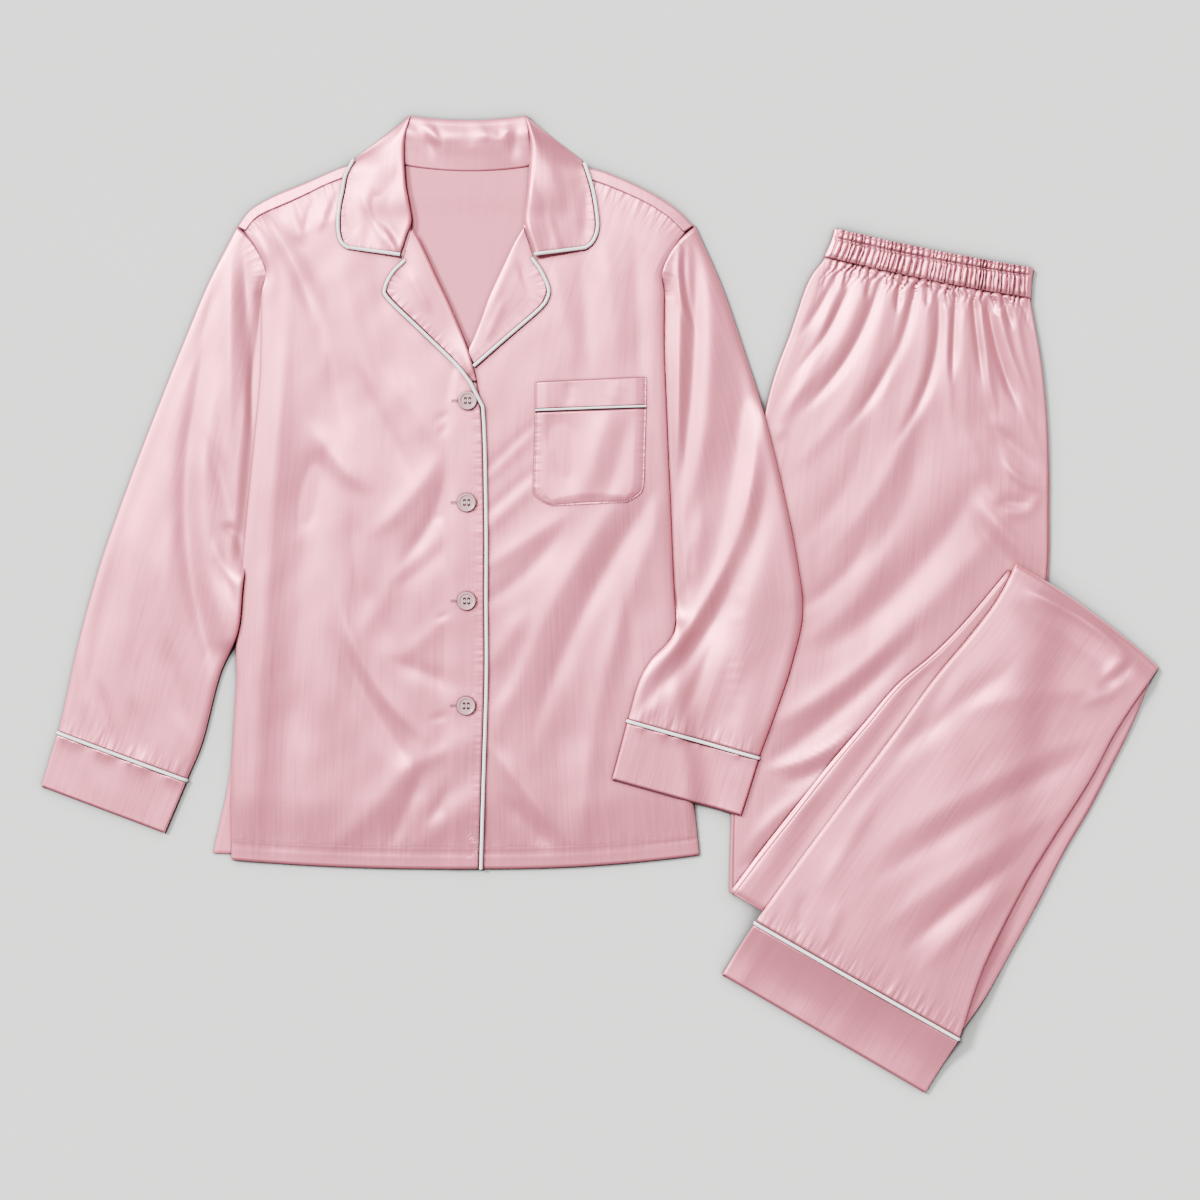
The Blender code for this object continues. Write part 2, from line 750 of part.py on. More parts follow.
def clear_of_layers(points):
    """The same piping points, lifted where the cloth under them stands up between two of them."""
    for a, b in zip(points, points[1:]):
        for part in (0.25, 0.5, 0.75):
            middle = a.lerp(b, part)
            short = trim_point(middle).z - middle.z
            if short > 0.0:
                a.z += short
                b.z += short
    return points


def beside(places, distance):
    """Piping points a distance to the left of a line of places, kept off its corners."""
    points = []
    last = len(places) - 1
    for k, place in enumerate(places):
        before = (place - places[k - 1]).normalized() if k else None
        after = (places[k + 1] - place).normalized() if k < last else None
        before, after = before or after, after or before
        run = (before + after).normalized()
        side = Vector((-run.y, run.x))
        points.append(trim_point(place + side * (distance / max(run.dot(after), 0.5))))
    return clear_of_layers(points)


def build_collar_back(look):
    """The collar's stand across the back of the neck, rolled over into the fall that lies behind."""
    stand, fall = Plan(COLLAR_STAND), Plan(COLLAR_FALL)
    across = spread(COLLAR_COLUMNS)
    half_wall = CLOTH_WALL / 2
    roll_radius = ROLL_CENTRE - half_wall
    rows = [[Vector((*stand.at(u, row.along), row.height * MM)) for u in across] for row in STAND_ROWS]
    for turn in ROLL_TURNS:
        angle = math.radians(turn)
        out = Vector((0.0, roll_radius * math.cos(angle)))
        rise = ROLL_CENTRE + roll_radius * math.sin(angle)
        rows.append([Vector((*(stand.at(u, 1.0) + out), rise)) for u in across])
    rows += [[Vector((*fall.at(u, v), half_wall)) for u in across] for v in FALL_ROWS]
    obj = sheet("collar_back", lambda i, j: rows[j][i], COLLAR_COLUMNS, len(rows) - 1, look, offset=0.0)
    LAYERS.add(obj)


def build_button(name, place, look):
    """A dished button with four holes, on the cloth at a place."""
    shape = bmesh.new()
    rim = [(BUTTON_RADIUS - step.inset * MM, step.height * MM) for step in BUTTON_RIM_STEPS]
    inner = (rim[0][0] - BUTTON_DISH_SLOPE, BUTTON_HEIGHT - BUTTON_DISH)
    steps = [(0.0, inner[1]), inner, *rim, (0.0, 0.0)]
    verts = [shape.verts.new((x, 0.0, z)) for x, z in steps]
    for a, b in zip(verts, verts[1:]):
        shape.edges.new((a, b))
    obj = add_object(name, finish_mesh(name, shape), *look)
    turned = obj.modifiers.new("turned", "SCREW")
    turned.steps = turned.render_steps = BUTTON_SIDES
    turned.use_merge_vertices = True
    turned.merge_threshold = MERGE
    drill = bmesh.new()
    for x in (-1, 1):
        for y in (-1, 1):
            made = bmesh.ops.create_cone(drill, cap_ends=True, segments=BUTTON_HOLE_SIDES,
                                         radius1=BUTTON_HOLE_RADIUS, radius2=BUTTON_HOLE_RADIUS,
                                         depth=4 * BUTTON_HEIGHT)
            shift = Vector((x * BUTTON_HOLE_SPACING / 2, y * BUTTON_HOLE_SPACING / 2, 0.0))
            bmesh.ops.translate(drill, verts=made["verts"], vec=shift)
    cutter = bpy.data.objects.new(name + "_holes", finish_mesh(name + "_holes", drill))
    cutter.hide_render = True
    cutter.display_type = "WIRE"
    bpy.data.collections["cutters"].objects.link(cutter)
    cutter.parent = obj
    cut = obj.modifiers.new("holes", "BOOLEAN")
    cut.operation = "DIFFERENCE"
    cut.object = cutter
    around = [LAYERS.top((place.x * MM + BUTTON_RADIUS * a, place.y * MM + BUTTON_RADIUS * b))
              for a in (-1, 0, 1) for b in (-1, 0, 1)]
    obj.location = (place.x * MM, place.y * MM, max(around) + SEAM_GAP)


def end_ring(tube, count):
    """Points round the far end of a flattened tube, for the piping in its seam."""
    plan = tube.plan
    low = PIPING_RADIUS
    high = max(tube.height - RING_TOP_INSET, low + RING_RISE)
    inset = PIPING_RADIUS / plan.width(1.0)
    across = spread(count)
    beyond = (plan.at(0.5, 1.0) - plan.at(0.5, TUBE_END_PROBE)).normalized() * PIPING_REACH

    def spot(u, z):
        place = plan.at(inset + u * (1.0 - 2.0 * inset), 1.0) + beyond
        return Vector((place.x, place.y, between(tube.lift[-1], tube.across, u) + z))

    points = [spot(u, high) for u in across]
    points.append(spot(1.0, (low + high) / 2))
    points += [spot(u, low) for u in reversed(across)]
    points.append(spot(0.0, (low + high) / 2))
    return points


def sleeve_with_cuff(side, sleeve_sections, cuff_sections, cloth, trim):
    """A sleeve, the piping in its cuff seam, and its cuff."""
    sleeve = Tube(sleeve_sections, 15, SLEEVE_HEIGHT, folds=SLEEVE_FOLDS, crown=SLEEVE_CROWN)
    made = [sleeve.hollow("sleeve_" + side, cloth)]
    cuff = Tube(cuff_sections, 3, CUFF_HEIGHT, start=sleeve.lift[-1], rounds=30)
    made.append(cuff.hollow("cuff_" + side, cloth))
    made.append(piping("piping_cuff_" + side, end_ring(sleeve, 8), trim, cyclic=True))
    for obj in made:
        LAYERS.add(obj)


def build_trousers(cloth, trim):
    """The folded trousers: waistband, three runs of the legs on each other, and the leg cuff."""

    def rib(u, v):
        arch = abs(math.sin(math.pi * min(v, 1.0) * CHANNEL_SPAN))
        channel = RIB_SEAM_SHARE + (1.0 - RIB_SEAM_SHARE) * arch
        return RIB_DEPTH * channel * (0.5 - 0.5 * math.cos(2.0 * math.pi * WAISTBAND_RIBS * u))

    def gather(u, v):
        wander = GATHER_EVENNESS + (1.0 - GATHER_EVENNESS) * math.sin(GATHER_WANDER * u)
        fade = (1.0 - smoothstep(v / GATHER_REACH)) * wander
        return GATHER_DEPTH * fade * (0.5 - 0.5 * math.cos(2.0 * math.pi * GATHERS * u))

    def folded_end(v):
        return END_SHARE + (1.0 - END_SHARE) * rounded(1.0 - v, END_ROUNDING)

    def folded_start(v):
        return END_SHARE + (1.0 - END_SHARE) * rounded(v, END_ROUNDING)

    def folded_both(v):
        return min(folded_end(v), folded_start(v))

    band = Tube(WAISTBAND, 5, WAISTBAND_HEIGHT, edge=LAYERED_EDGE, top_count=2 * WAISTBAND_RIBS,
                ripple=rib)
    LAYERS.add(band.filled("waistband", cloth))
    upper = Tube(TROUSERS_UPPER, 14, RUN_HEIGHT, edge=LAYERED_EDGE, top_count=2 * GATHERS,
                 ripple=gather, crown=RUN_CROWN, folds=TROUSER_FOLDS, end_scale=folded_end)
    LAYERS.add(upper.filled("trousers_upper", cloth))
    middle = Tube(TROUSERS_MIDDLE, 12, RUN_HEIGHT, edge=LAYERED_EDGE, top_count=8,
                  end_scale=folded_both)
    LAYERS.add(middle.filled("trousers_middle", cloth))
    top = Tube(TROUSERS_TOP, 14, RUN_HEIGHT, edge=LAYERED_EDGE, top_count=10, crown=RUN_CROWN,
               folds=TOP_RUN_FOLDS, end_scale=folded_start)
    LAYERS.add(top.filled("trousers_top", cloth))
    cuff = Tube(LEG_CUFF, 4, LEG_CUFF_HEIGHT, top_count=10, start=top.lift[-1], rounds=40,
                sag=LEG_CUFF_SAG)
    LAYERS.add(cuff.hollow("leg_cuff", cloth))
    LAYERS.add(piping("piping_leg_cuff", end_ring(top, 10), trim, cyclic=True))


def build_leaf(side, sections, turn, cloth, trim):
    """One leaf of the collar, with the piping along its outer and lower edges."""
    plan = Plan(sections, right_inset=PIPING_REACH)
    along = [LEAF_START + (1.0 - LEAF_START) * part for part in spread(LEAF_ROWS)]
    leaf = build_turned("collar_leaf_" + side, plan, cloth, ROLL_HEIGHT, along, fold_end=True)
    edge = [plan.at(1.0, v) for v in reversed(along) if v < LEAF_TRIM_TOP]
    edge += [plan.at(u, LEAF_START) for u in reversed(TURNED_ACROSS[:-1])]
    trimming = piping("piping_leaf_" + side, beside(edge, turn * (PIPING_REACH + TRIM_CLEAR)), trim)
    LAYERS.add(leaf)
    LAYERS.add(trimming)


def build_lapel(side, sections, turn, cloth, trim, front_edge=()):
    """One lapel, with the piping along its outer edge and on down the front edge."""
    plan = Plan(sections, right_inset=PIPING_REACH)
    along = spread(LAPEL_ROWS)
    lapel = build_turned("lapel_" + side, plan, cloth, LAPEL_ROLL, along)
    rim = [plan.at(1.0, v) for v in reversed(along)]
    rim[0] = rim[0].lerp(rim[1], LAPEL_TRIM_START)
    edge = beside(rim, turn * (PIPING_REACH + TRIM_CLEAR))
    trimming = piping("piping_front_" + side, clear_of_layers(edge + list(front_edge)), trim)
    LAYERS.add(lapel)
    LAYERS.add(trimming)


def build_pocket(cloth, trim):
    """The breast pocket, its band, and the piping between them."""
    for name, sections, columns, rows in (("pocket", POCKET, 6, 8), ("pocket_band", POCKET_BAND, 6, 2)):
        plan = Plan(sections)
        across, along = spread(columns), spread(rows)
        laid = lay(plan, across, along, gap=SEAM_GAP, rounds=3)

        def place(i, j):
            spot = plan.at(across[i], along[j])
            return Vector((spot.x, spot.y, laid[j][i]))

        sheet(name, place, columns, rows, cloth)
    left = Vector((POCKET[-1].left_x, POCKET[-1].left_y)) * MM
    right = Vector((POCKET[-1].right_x, POCKET[-1].right_y)) * MM
    up = Vector((0.0, PIPING_REACH))
    route = [trim_point(left.lerp(right, part) + up) for part in spread(6)]
    piping("piping_pocket", clear_of_layers(route), trim)


def build_shirt(cloth, trim, shell):
    """The shirt, from its back up."""
    build_collar_back(cloth)
    build_back(cloth)
    build_front("front_left", FRONT_LEFT, 1, cloth)
    build_lapel("left", LAPEL_LEFT, 1, cloth, trim)
    build_front("front_right", FRONT_RIGHT, 0, cloth, right_inset=PIPING_REACH)
    front = Plan(FRONT_RIGHT, right_inset=PIPING_REACH)
    edge = beside([front.at(1.0, v) for v in reversed(spread(FRONT_ROWS)) if v <= FRONT_EDGE_TOP],
                  PIPING_REACH + TRIM_CLEAR)
    build_lapel("right", LAPEL_RIGHT, -1, cloth, trim, front_edge=edge)
    build_leaf("left", LEAF_LEFT, 1, cloth, trim)
    build_leaf("right", LEAF_RIGHT, -1, cloth, trim)
    build_pocket(cloth, trim)
    for number, place in enumerate(BUTTONS, 1):
        build_button("button_" + str(number), place, shell)


def main():
    """Clear the scene and build the set."""
    for obj in list(bpy.data.objects):
        bpy.data.objects.remove(obj, do_unlink=True)
    parts = bpy.data.collections.new("pyjama_set")
    cutters = bpy.data.collections.new("cutters")
    for collection in (parts, cutters):
        bpy.context.scene.collection.children.link(collection)
    cloth = (material("satin", PINK_CLOTH, 0.35), parts)
    trim = (material("piping", WHITE_PIPING, 0.5), parts)
    shell = (material("button", BUTTON_SHELL, 0.3), parts)
    build_shirt(cloth, trim, shell)
    build_trousers(cloth, trim)
    sleeve_with_cuff("right", SLEEVE_RIGHT, CUFF_RIGHT, cloth, trim)
    sleeve_with_cuff("left", SLEEVE_LEFT, CUFF_LEFT, cloth, trim)


main()
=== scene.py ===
"""Looks of a satin pyjama set laid out flat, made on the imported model's frame.

Metres, +Z up. Tables are plan sizes in millimetres from the middle of the set, +Y towards the collar.
"""

import logging
import math
from dataclasses import dataclass, field
from enum import Enum
from typing import Callable, NamedTuple, Sequence

import bmesh
import bpy
import numpy as np
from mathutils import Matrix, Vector


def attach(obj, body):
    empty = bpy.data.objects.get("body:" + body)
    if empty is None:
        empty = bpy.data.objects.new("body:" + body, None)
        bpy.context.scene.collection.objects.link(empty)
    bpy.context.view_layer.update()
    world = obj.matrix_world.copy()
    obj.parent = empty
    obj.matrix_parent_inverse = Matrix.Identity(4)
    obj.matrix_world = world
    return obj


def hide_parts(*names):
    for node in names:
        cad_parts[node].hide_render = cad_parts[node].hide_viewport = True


logging.basicConfig(level=logging.INFO, format="%(message)s")
LOG = logging.getLogger("pyjama_set")

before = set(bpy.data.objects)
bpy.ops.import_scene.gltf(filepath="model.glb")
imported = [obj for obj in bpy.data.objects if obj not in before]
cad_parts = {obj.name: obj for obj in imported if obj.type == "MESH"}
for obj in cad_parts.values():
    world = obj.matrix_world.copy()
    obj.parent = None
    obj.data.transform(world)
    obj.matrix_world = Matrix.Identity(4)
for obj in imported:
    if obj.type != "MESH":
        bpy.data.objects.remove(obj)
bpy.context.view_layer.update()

MM = 0.001
WALL = 0.7 * MM
SEAM_GAP = 0.3 * MM
PIPING_RADIUS = 1.75 * MM
TRIM_INSET = PIPING_RADIUS + SEAM_GAP
HEM_LINE = 16.5 * MM  # the shirt's hem stitches, from its edge
LAPEL_START = 0.5  # share of the right front's length from hem to lapel

Pair = tuple[float, float]
Triple = tuple[float, float, float]
Array = np.ndarray
Piece = bpy.types.Object
Material = bpy.types.Material
Socket = bpy.types.NodeSocket
PlaceRule = Callable[[Array, Array], Array]


class Slot(Enum):
    """Material slot names."""

    SATIN = "satin"
    PIPING = "piping"
    BUTTON = "button"


class End(Enum):
    """How an end of a tube of cloth is made."""

    OPEN = "open"
    FOLDED = "folded"
    TUCKED = "tucked"


class Side(Enum):
    """The wearer's right or left side."""

    RIGHT = 0
    LEFT = 1

    @property
    def word(self) -> str:
        """The side's name, as pieces and nodes end in it."""
        return self.name.lower()


class Section(NamedTuple):
    """Left and right end of a piece at one station, and how far the station bows to its left."""

    left_x: float
    left_y: float
    right_x: float
    right_y: float
    bow: float = 0.0


class Crease(NamedTuple):
    """A soft ridge, or a trough where the height is negative, with half its width at 1/e."""

    x0: float
    y0: float
    x1: float
    y1: float
    width: float
    height: float
    bow: float = 0.0
    lean: float = 0.0


def table(kind: type, *rows: Sequence[float]) -> tuple:
    """Rows of millimetres as named tuples of one kind."""
    return tuple(kind(*row) for row in rows)


BACK = table(Section,
    (-387, -248, 97, -247, -5), (-370, -166, 89, -166, -1), (-364, -75, 78, -75), (-358, 5, 70, 5),
    (-351, 85, 66.5, 85), (-339, 205, 61.5, 205), (-336, 315, 60.5, 315), (-346, 356, 75, 358),
)
SHOULDER_LINE = (
    (-361, 377), (-348, 394), (-326, 407), (-297, 419), (-252, 438), (-195, 442), (-133, 435), (-71, 440),
    (-9, 435), (18, 426), (50, 411), (76, 394), (92, 378),
)
SHOULDER_EDGES = ((*SHOULDER_LINE[:5], (-222, 441)), (*SHOULDER_LINE[:-6:-1], (-44, 438)))
SHOULDER_SEAMS = (
    ((-357, 375), (-347, 387), (-335, 394), (-310, 405), (-284, 417), (-255, 428), (-226, 437)),
    ((86.5, 374), (69, 390), (50, 402), (18, 417), (-9, 427), (-40, 436)),
)
FRONT_RIGHT = table(Section,
    (-368.5, -254.5, -119, -263.5, -3), (-368.5, -166, -116, -169, -1), (-363, -75, -113.3, -70),
    (-357, 5, -113.6, 4), (-350, 85, -113.6, 85), (-338, 205, -117, 198), (-335.5, 255, -130, 249),
    (-335, 305, -152, 303), (-334, 331, -171, 343), (-346, 357, -188, 381, 4), (-357, 375, -195, 440, 14),
)
FRONT_LEFT = table(Section,
    (-150, -263, 99, -249.5, -5), (-150, -169, 90, -166, -2), (-150, -75, 79, -75), (-150, 5, 71, 5),
    (-150, 85, 67.4, 85), (-150, 200, 62.5, 205), (-131, 254, 60.5, 262), (-111, 305, 60.7, 305),
    (-93, 345, 61.6, 330), (-75.6, 381, 77, 360, 4), (-71, 440, 86.5, 374, 14),
)
SLEEVE_RIGHT = table(Section,
    (-363, 377, -336, 305, 11), (-392, 320, -337, 255, 7), (-419, 255, -340, 200, 4), (-439, 205, -344, 165),
    (-468, 130, -351.5, 90), (-495, 55, -358, 20), (-510, 5, -361, -27), (-523, -45, -380, -70),
    (-534, -95, -397, -135), (-541.1, -125.8, -412.6, -173.6),
)
CUFF_RIGHT = table(Section,
    (-542.3, -129.2, -413.8, -177.0), (-550.5, -156, -424.6, -203), (-558.2, -182, -435.4, -228.4),
)
SLEEVE_LEFT = table(Section,
    (63.5, 305, 95.5, 377, 11), (63, 255, 122, 317, 7), (65, 200, 146, 247, 4), (67, 160, 161, 200),
    (70, 90, 181, 120), (73, 30, 195.5, 47), (75, -24, 201.5, -7), (50, -56, 192, -54), (38, -79, 180, -92),
    (27.9, -114, 158.4, -151),
)
CUFF_LEFT = table(Section,
    (27.0, -117.4, 157.4, -154.5), (19.5, -146, 148.9, -182.5), (11.7, -174.5, 139.9, -210.5),
)
POCKET = table(Section,
    (-48, 99, 26, 102.5), (-60, 105, 37, 109), (-66.5, 116, 43, 119), (-65.5, 155, 44.5, 158),
    (-64.7, 192.4, 45.7, 196.4),
)
POCKET_BAND = table(Section,
    (-64.7, 196.0, 45.8, 200.0), (-64.7, 209, 46.0, 213.6), (-64.7, 222, 46.2, 227.2),
)
LAPEL_RIGHT = table(Section,
    (-123, 223, -129.5, 222), (-132, 255, -144, 240), (-148, 294, -179, 274), (-162, 324, -211, 305),
    (-172, 346, -214.5, 316), (-181, 365, -207, 331), (-187.0, 374.8, -197.9, 340.2),
)
LAPEL_LEFT = table(Section,
    (-133, 251, -126, 238), (-122, 275, -94, 266), (-112, 304, -61.5, 294), (-105, 320, -53, 305),
    (-96, 339, -51.5, 316), (-86, 360, -59, 333), (-76.3, 376.5, -65.3, 342),
)
LEAF_RIGHT = table(Section,
    (-200, 347.5, -250, 355), (-197, 355, -258, 362), (-193, 367, -261, 376), (-188.3, 383, -260, 396),
    (-191, 402, -257, 412), (-194.5, 425, -254, 428), (-195, 461, -247, 442), (-189.4, 488, -246, 446),
)
LEAF_LEFT = table(Section,
    (-65, 347, -17, 354.5), (-68, 355, -7.5, 362), (-72, 367, -2.5, 376), (-75.6, 383, -4, 396),
    (-73.5, 402, -7.5, 415), (-71, 425, -11, 427), (-70, 461, -15, 439), (-74.5, 488, -17, 444),
)
COLLAR_STAND = table(Section,
    (-198, 439.5, -68, 438.5, -6), (-197, 456, -68, 456, -5), (-194.5, 471, -70.5, 471, -5),
    (-191.5, 486, -72.5, 486, -4.5),
)
COLLAR_FALL = table(Section,
    COLLAR_STAND[-1], (-190, 468, -75, 468, -5), (-192, 446, -73, 446, -6), (-194, 424, -70, 424, -7),
)
WAISTBAND = table(Section,
    (223.7, 347.6, 430, 306, -3), (231, 364.4, 431, 326, -2.5), (234, 375.6, 433, 336, -2),
)
TROUSERS_UPPER = table(Section,
    (223.6, 345.4, 429.6, 303.8, -3), (207.5, 322, 434, 280), (190, 272, 441, 240), (170, 215, 447, 180),
    (152, 125, 449, 105), (142, 25, 446, 15), (136, -75, 420, -115), (132, -175, 393.5, -255),
    (129.5, -255, 375, -360), (129, -287, 362, -423),
)
TROUSERS_MIDDLE = table(Section,
    (129.5, -286, 362, -422), (161, -244, 385, -390), (192, -204, 410, -348), (228.6, -158, 437, -299),
    (265, -115, 464, -247), (296, -79, 490, -203), (332.7, -48, 512, -160), (366, -14, 531, -121),
    (407, 35, 550, -75),
)
TROUSERS_TOP = table(Section,
    (414, 41, 558.2, -62, 6), (394, 4, 535, -94), (366, -33, 512, -130), (333, -72.5, 488.5, -175),
    (290, -131, 452, -233), (253, -180, 422, -282), (201, -250, 383, -357), (154.6, -314.8, 357.4, -430.5),
)
LEG_CUFF = table(Section,
    (152.7, -318, 355.5, -433.6), (137, -344, 340, -461), (121.4, -369.9, 324.2, -487.9),
)
BUTTONS = ((-132.0, 203.5), (-133.0, 102.0), (-133.0, 4.0), (-133.5, -100.5))
FRONT_CREASES = table(Crease,
    (-286, 150, -318, -215, 22, -2.8), (-316, 240, -346, -215, 13, 2.2, -2),
    (-284, 172, -240, 122, 11, 1.8, -3), (-276, 150, -300, 80, 14, -1.6),
    (-328, 380, -290, 300, 10, -2.4, 4), (-288, 318, -258, 190, 13, -2.0, 2),
    (-344, 372, -331, 310, 7, 2.0, 3), (-308, 392, -298, 364, 5, 0.8), (-288, 400, -294, 376, 4, -0.6),
    (-272, 404, -280, 376, 5, 0.6), (-262, 410, -270, 386, 4, -0.6), (-255, 320, -215, 190, 12, 1.0, -4),
    (-237, 222, -193, 136, 11, -1.2), (-222, 335, -190, 225, 13, -0.8, -4), (-206, 225, -165, 165, 12, 0.9),
    (-150, 126, -194, 46, 9, -1.8, 4), (-164, 140, -218, 78, 11, 1.3, 3),
    (-256, -10, -192, -118, 8, 1.7, -9), (-254, -50, -194, -152, 12, -2.7, -3),
    (-248, 85, -242, 20, 7, -0.8), (-240, 20, -208, -42, 12, -1.0), (-182, -146, -268, -242, 14, 1.5, 6),
    (-179, -172, -206, -232, 9, -1.7), (-122, -158, -166, -209, 8, -1.8), (-124, -192, -176, -236, 12, 1.1),
    (-128, -134, -186, -160, 9, 0.9), (-200, -58, -140, -82, 9, -1.2), (-150, 60, -200, 20, 10, -0.7),
    (-190, 50, -232, -20, 12, 0.8), (-150, -10, -192, -48, 10, 0.7), (-142, 194, -164, 184, 3, -0.5),
    (-142, 188, -160, 170, 3, -0.5), (-144, 94, -164, 86, 3, -0.5), (-144, -5, -162, -14, 3, -0.5),
    (-144, -108, -168, -114, 3, -0.5), (-290, 60, -278, -120, 24, 0.9, 4), (-300, -130, -285, -225, 18, 0.8),
    (-268, 300, -274, 240, 8, 0.5), (22, 110, -96, -106, 14, 1.5, -8), (44, 98, -58, -102, 12, -2.1, -7),
    (48, 62, -18, -242, 12, 1.6, -14), (-100, -152, -44, -224, 9, 2.0), (-92, -198, -50, -240, 10, -1.8),
    (-38, -108, -42, -216, 20, -1.6), (-68, 179, -112, 136, 4, -0.4), (-70, 168, -112, 126, 5, 0.4),
    (-66, 134, -113, 92, 5, -0.5), (-66, 120, -114, 75, 7, 0.6), (-45, 66, -112, 4, 10, -1.0, 4),
    (-40, 86, -112, 38, 9, 0.7), (-78, -12, -110, -62, 11, 0.8), (-72, -24, -102, -92, 10, -0.8, 4),
    (52, 110, 64, 40, 10, 1.0), (-45, 330, -28, 245, 12, 1.0), (-18, 345, -12, 245, 10, -0.9),
    (5, 355, 18, 250, 12, 1.0), (35, 350, 40, 240, 9, -0.9), (28, 20, 30, -60, 9, -0.9),
)
POCKET_CREASES = table(Crease,
    (-40, 188, -30, 118, 17, -1.5), (8, 190, -14, 120, 13, 1.1), (-50, 190, -50, 160, 5, -0.4),
    (30, 184, 8, 112, 11, -0.9), (-30, 222, -32, 202, 6, -0.4), (18, 222, 14, 204, 8, 0.4),
)
SLEEVE_CREASES = table(Crease,
    (-354, 338, -345, 180, 8, -2.6), (-370, 345, -369, 175, 8, 1.6), (-384, 330, -402, 225, 8, -1.2),
    (-398, 302, -508, -72, 14, -1.8, -13), (-400, 222, -386, -62, 10, -3.0, -20),
    (-384, 205, -374, -22, 12, 1.7, -16), (-388, 156, -367, 78, 8, -1.3, 2),
    (-374, 78, -357, 60, 5, -1.6, 3), (-384, 60, -362, 20, 6, 1.2, -3), (-374, 32, -362, -2, 5, -1.1),
    (-432, 60, -420, -60, 10, 1.0, -6), (-470, 90, -476, -60, 15, 0.9), (-430, -40, -412, -120, 9, -1.0, -4),
    (-520, -40, -512, -110, 9, 1.0), (-500, -84, -488, -140, 6, -1.1), (-466, -100, -460, -150, 7, -0.8),
    (152, 188, 46, -70, 8, 2.4, 31), (164, 112, 46, -94, 12, -3.0, 20), (95, 325, 78, 110, 8, -2.4, 5),
    (80, 320, 74, 140, 5, 1.0, 2), (108, 320, 98, 130, 12, 1.6, 6), (84, 352, 92, 285, 3, -1.0, -3),
    (78, 350, 84, 290, 3, 0.8, -3), (140, 240, 126, 90, 14, -0.9, 8), (172, 150, 192, -40, 9, 1.6, 12),
    (100, 90, 82, 20, 9, 1.2, 4), (92, 50, 80, -8, 5, -1.0), (112, -40, 84, -108, 6, -0.8),
    (124, -48, 102, -112, 7, 0.8), (150, -60, 128, -118, 8, -0.7), (60, -80, 50, -110, 6, 0.8),
)
TROUSER_CREASES = table(Crease,
    (216, 330, 172, 204, 6, 1.2, 2), (240, 340, 204, 276, 5, -2.4, 3), (230, 310, 178, 182, 8, 1.6, 8),
    (254, 334, 206, 244, 5, -2.2, 5), (264, 326, 196, 210, 9, 1.2, 10), (184, 178, 176, 168, 5, 1.0),
    (280, 330, 220, 212, 6, -2.2, 9), (288, 322, 216, 160, 10, 0.9, 14), (299, 324, 296, 296, 3, -2.0),
    (314, 322, 262, 196, 6, -2.3, 9), (270, 190, 214, 76, 12, -0.9, 9), (307, 318, 284, 220, 6, 1.0, 3),
    (326, 312, 250, 76, 11, 1.1, 24), (337, 318, 310, 186, 6, -2.5, 11), (320, 176, 262, 44, 14, -1.1, 13),
    (345, 312, 350, 190, 7, 1.3, -2), (355, 316, 351, 236, 4, -2.4), (363, 306, 362, 180, 11, 1.2),
    (371, 312, 380, 236, 4, -2.4), (379, 306, 392, 200, 5, 1.6, -2), (385, 311, 414, 204, 5, -3.0, -4),
    (396, 304, 428, 206, 5, 1.8, -4), (403, 306, 410, 280, 4, -2.4), (412, 302, 438, 200, 5, 1.6, -3),
    (421, 302, 430, 276, 3, -2.0), (228, 336, 220, 316, 3, -1.4), (248, 336, 244, 318, 3, -1.4),
    (270, 330, 266, 308, 3, -1.4), (326, 318, 326, 300, 3, -1.4), (346, 316, 346, 298, 3, -1.2),
    (393, 306, 397, 292, 3, -1.4), (386, 200, 398, 150, 8, -0.8), (366, 102, 246, -30, 17, -2.8, 8),
    (392, 74, 196, -104, 13, 1.1, 12), (406, 138, 442, 116, 5, 2.0, -4), (398, 100, 430, 100, 7, -2.2),
    (393, 104, 441, 110, 7, 1.9, -13), (386, 92, 442, 40, 9, 2.2, -3), (366, 168, 384, 126, 10, 0.9),
    (376, 84, 424, 30, 8, -1.4, -4), (398, 172, 438, 136, 8, -2.0), (418, 200, 444, 144, 5, 1.1),
    (300, -46, 182, -148, 11, -2.4, 4), (280, -46, 190, -112, 8, 1.0, 4), (248, -128, 178, -162, 5, 1.6, 6),
    (236, -152, 190, -176, 6, -1.6, 3), (150, -238, 212, -186, 8, 1.6, 4), (140, -262, 175, -242, 6, -1.4),
    (290, 60, 214, -30, 12, 0.9, 8), (266, 66, 206, 0, 9, -1.0, 6),
)
TOP_RUN_CREASES = table(Crease,
    (438, 8, 512, -37, 6, 3.0, 3), (424, -6, 500, -56, 14, -2.6, 3), (396, -70, 300, -140, 12, -1.9, 2),
    (500, -86, 360, -104, 12, 1.2, -6), (452, -164, 296, -256, 14, -2.4, -2),
    (462, -140, 310, -222, 12, 1.2, -4), (446, -212, 300, -306, 13, 1.8, -4),
    (402, -262, 316, -330, 9, -2.1, -2), (420, -276, 328, -350, 10, 1.4, -3), (524, -50, 504, -70, 6, 1.2),
    (528, -62, 500, -84, 7, -1.4), (526, -74, 484, -98, 7, 1.0), (538, -90, 436, -250, 10, 1.4),
    (352, -60, 262, -190, 9, -1.4, 4), (330, -150, 240, -250, 18, -1.0), (268, -200, 226, -270, 9, 1.2),
    (200, -290, 196, -322, 6, -0.9), (236, -300, 220, -340, 7, 0.8), (396, -320, 372, -370, 7, -0.9),
)
MIDDLE_RUN_CREASES = table(Crease,
    (404, 34, 148, -314, 15, -3.0, -6), (392, 22, 140, -290, 5, 0.5, -4), (330, -62, 300, -90, 4, -0.8),
)
